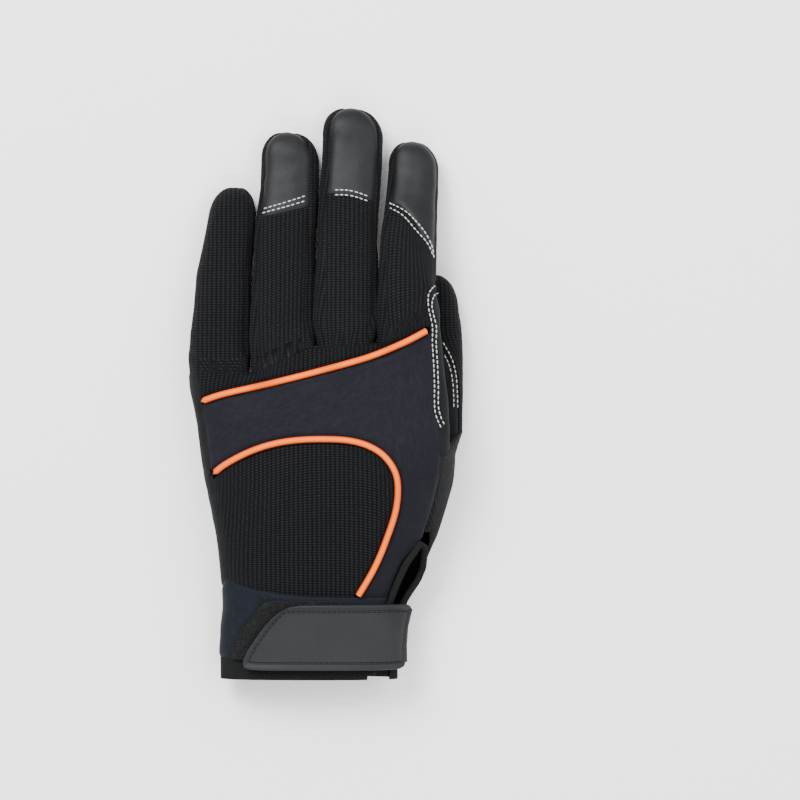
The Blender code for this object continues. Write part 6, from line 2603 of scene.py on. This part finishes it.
@dataclass(eq=False)
class Stitching:
    """All the glove's rows of stitches, laid on its finished panels."""

    skin: Skin
    palm: Palm
    thumb: Thumb
    length: float = 0.0017
    pitch: float = 0.0022
    radius: float = 0.0003
    lift: float = 0.00012
    # How far the double rows at a tip's leather lie inside its edge, and stop short of its sides
    tip_rows: tuple[float, ...] = (0.0012, 0.0032)
    tip_margin: float = 0.06
    # How far the rows of a pad lie inside its edge, and how many points its wave's ends lose
    pad_rows: tuple[float, ...] = (0.0011, 0.0025, 0.0039)
    wave_ends: int = 18
    wave_least: float = 0.001
    ray_height: float = 0.2
    sampling: float = 0.0003
    row_steps: int = 100
    pad_steps: int = 900

    @cached_property
    def surface(self) -> BVHTree:
        """Gathers the finished panels for finding where a stitch lies."""
        vertices, faces = [], []
        for panel in bpy.data.objects:
            if panel.get("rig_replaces") and panel.type == "MESH":
                start = len(vertices)
                vertices += [v.co for v in panel.data.vertices]
                faces += [[start + i for i in p.vertices] for p in panel.data.polygons]
        return BVHTree.FromPolygons(vertices, faces)

    @cached_property
    def mould(self) -> bpy.types.Mesh:
        """Shapes one stitch: a ball of thread drawn out along it."""
        bm = bmesh.new()
        bmesh.ops.create_uvsphere(bm, u_segments=8, v_segments=5, radius=self.radius)
        bmesh.ops.rotate(bm, verts=bm.verts, matrix=Euler((0, math.pi / 2, 0)).to_matrix())
        bmesh.ops.scale(bm, verts=bm.verts, vec=(self.length / 2 / self.radius, 1, 1))
        mesh = bpy.data.meshes.new("stitch")
        bm.to_mesh(mesh)
        bm.free()
        return mesh

    def drop(self, spots: Iterable[Vector], side: Face) -> list[tuple[Vector, Vector]]:
        """Lays plan spots on the glove.

        Args:
            spots: The spots.
            side: Whether they are laid on from above or from below.

        Returns:
            A point and a normal for each spot that meets the glove.
        """
        found = []
        for spot in spots:
            start = Vector((spot.x + SHIFT.x, spot.y + SHIFT.y, side * self.ray_height))
            hit, normal, _, _ = self.surface.ray_cast(start, Vector((0, 0, -side)))
            if hit:
                found.append((hit, normal))
        return found

    def near(self, points: Iterable[Vector]) -> list[tuple[Vector, Vector]]:
        """Finds the glove's nearest places to given points.

        Args:
            points: The points.

        Returns:
            A point and a normal for each.
        """
        return [self.surface.find_nearest(point + SHIFT)[:2] for point in points]

    def seam_lines(self, seams: Iterable[Seam]) -> list[list[tuple[Vector, Vector]]]:
        """Lays seams on the glove.

        Args:
            seams: The seams.

        Returns:
            A line of points with normals for each.
        """
        lines = []
        for seam in seams:
            points = [(x / 1000, y / 1000) for x, y in seam.points]
            lines.append(self.drop(smooth_line(points, self.sampling), seam.side))
        return lines

    def stitch_line(self, bm: bmesh.types.BMesh, line: list[tuple[Vector, Vector]]) -> None:
        """Adds stitches along a line.

        Args:
            bm: Where they are added.
            line: Points with normals.
        """
        travelled = 0.0
        for (here, normal), (ahead, _) in zip(line, line[1:]):
            step = (ahead - here).length
            if step > self.pitch * 1.5:
                travelled = 0.0
                continue
            travelled += step
            if travelled < self.pitch:
                continue
            travelled -= self.pitch
            along = (ahead - here).normalized()
            across = normal.cross(along).normalized()
            turn = Matrix((along, across, along.cross(across))).transposed().to_4x4()
            rest = here + normal * self.lift
            rest.z = max(rest.z, self.radius)
            stamp(bm, self.mould, Matrix.Translation(rest) @ turn)

    def sew(self, name: str, lines: Iterable[list[tuple[Vector, Vector]]], finish: Finish) -> None:
        """Makes one object of stitches.

        Args:
            name: The object's name.
            lines: Lines of points with normals.
            finish: The thread.
        """
        bm = bmesh.new()
        for line in lines:
            self.stitch_line(bm, line)
        link_sewn(name, bm, finish)

    def tip_lines(self) -> list[list[tuple[Vector, Vector]]]:
        """Lays the double rows at the leather of the fingers and the thumb.

        Returns:
            The lines.
        """
        skin, lines = self.skin, []
        shares = [mix(self.tip_margin, 1 - self.tip_margin, i / self.row_steps) for i in range(self.row_steps + 1)]
        for index, finger in enumerate(skin.fingers):
            for inset in self.tip_rows:
                reach = finger.palm_end + inset / finger.length
                lines.append(self.near([skin.finger_face(index, share, reach, Face.PALM) for share in shares]))
        for inset in self.tip_rows:
            y = skin.thumb_fork * skin.palm_length + self.thumb.thumb_patch_start * skin.thumb_length + inset
            lines.append(self.near([skin.thumb_skin(y, mix(0.5, 1.0, share)) for share in shares]))
        return lines

    def wave_lines(self) -> list[list[tuple[Vector, Vector]]]:
        """Lays the rows inside the knuckle pad's upper and lower edges.

        Returns:
            The lines.
        """
        lines = []
        steps = [i / self.pad_steps for i in range(self.pad_steps + 1)]
        for inset in self.pad_rows:
            upper, lower = [], []
            for step in steps:
                _, low, high = follow(self.palm.knuckle_pad, step)
                height = (high - low) * self.skin.palm_length
                if height > 2.2 * inset + self.wave_least:
                    lower.append(self.palm.wave_outline(step, inset / height))
                    upper.append(self.palm.wave_outline(step, 1 - inset / height))
            cut = slice(self.wave_ends, -self.wave_ends)
            lines += [self.drop(row[cut], Face.PALM) for row in (upper, lower)]
        return lines

    def disc_lines(self) -> list[list[tuple[Vector, Vector]]]:
        """Lays the rings inside the edges of the two rounded pads.

        Returns:
            The lines.
        """
        lines = []
        turns = [math.tau * i / self.pad_steps for i in range(self.pad_steps + 1)]
        for shape, insets in ((self.palm.heel_pad, self.pad_rows), (self.palm.inner_pad, self.pad_rows[:2])):
            size = min(shape.half_width * self.skin.hand_width, shape.half_length * self.skin.palm_length)
            for inset in insets:
                scale = 1 - inset / size
                ring = [self.palm.disc_spot(shape, math.cos(turn) * scale, math.sin(turn) * scale) for turn in turns]
                lines.append(self.drop(ring, Face.PALM))
        return lines

    def build(self, groove: list[Vector]) -> None:
        """Sews every row.

        Args:
            groove: The closing tab's groove.
        """
        self.sew("stitches_back", self.seam_lines(BACK_SEAMS), THREAD)
        self.sew("stitches_palm", self.seam_lines(PALM_SEAMS) + self.tip_lines(), THREAD)
        self.sew("stitches_pads", self.wave_lines() + self.disc_lines(), THREAD)
        self.sew("stitches_tab", [self.near(groove)], DARK_THREAD)


# Studio


class Lamp(NamedTuple):
    """A soft square light that faces the glove."""

    name: str
    place: tuple[float, float, float]
    size: float
    power: float


@dataclass(frozen=True)
class Studio:
    """A pale floor, soft lights and the camera straight above."""

    view_centre: tuple[float, float] = (0.0325, -0.0032)
    view_span: float = 0.352
    view_height: float = 1.6
    sensor: float = 36.0
    floor_half: float = 3.0
    daylight: float = 0.9
    lamps: tuple[Lamp, ...] = (
        Lamp("key", (-0.5, 0.7, 1.1), 0.7, 34),
        Lamp("fill", (0.8, 0.3, 1.0), 1.0, 14),
        Lamp("front", (0.1, -0.9, 0.9), 0.9, 10),
    )

    def floor(self) -> bpy.types.Object:
        """Lays the floor.

        Returns:
            The floor.
        """
        bm = bmesh.new()
        bmesh.ops.create_grid(bm, x_segments=1, y_segments=1, size=self.floor_half)
        mesh = bpy.data.meshes.new("floor")
        bm.to_mesh(mesh)
        bm.free()
        mesh.materials.append(FLOOR_PAPER.material())
        return bpy.data.objects.new("floor", mesh)

    def light(self, lamp: Lamp) -> bpy.types.Object:
        """Hangs a light.

        Args:
            lamp: Where it hangs, how large it is and how bright.

        Returns:
            The light.
        """
        data = bpy.data.lights.new(lamp.name, "AREA")
        data.size = lamp.size
        data.energy = lamp.power
        light = bpy.data.objects.new(lamp.name, data)
        light.location = lamp.place
        light.rotation_mode = "QUATERNION"
        light.rotation_quaternion = (-Vector(lamp.place)).to_track_quat("-Z", "Y")
        return light

    def camera(self) -> bpy.types.Object:
        """Sets the camera up.

        Returns:
            The camera.
        """
        data = bpy.data.cameras.new("camera")
        data.sensor_width = self.sensor
        data.lens = self.sensor * self.view_height / self.view_span
        camera = bpy.data.objects.new("camera", data)
        camera.location = (*self.view_centre, self.view_height)
        return camera

    def build(self) -> None:
        """Puts the floor, the lights, the camera and the daylight in place."""
        camera = self.camera()
        items = [self.floor(), camera, *(self.light(lamp) for lamp in self.lamps)]
        for item in items:
            bpy.context.scene.collection.objects.link(item)
        bpy.context.scene.camera = camera
        world = bpy.data.worlds.new("world")
        world.use_nodes = True
        background = world.node_tree.nodes["Background"]
        background.inputs["Color"].default_value = (1, 1, 1, 1)
        background.inputs["Strength"].default_value = self.daylight
        bpy.context.scene.world = world


def main() -> None:
    """Builds the glove over its frame, one sub-assembly after another."""
    logging.basicConfig(level=logging.INFO)
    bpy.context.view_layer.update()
    skin = Skin()
    BackOfHand(skin).build()
    Fingers(skin).build()
    palm = Palm(skin)
    palm.build()
    thumb = Thumb(skin)
    thumb.build()
    Cuff(skin).build()
    groove = Closing(skin).build()
    Stitching(skin, palm, thumb).build(groove)
    Studio().build()


if __name__ == "__main__":
    main()
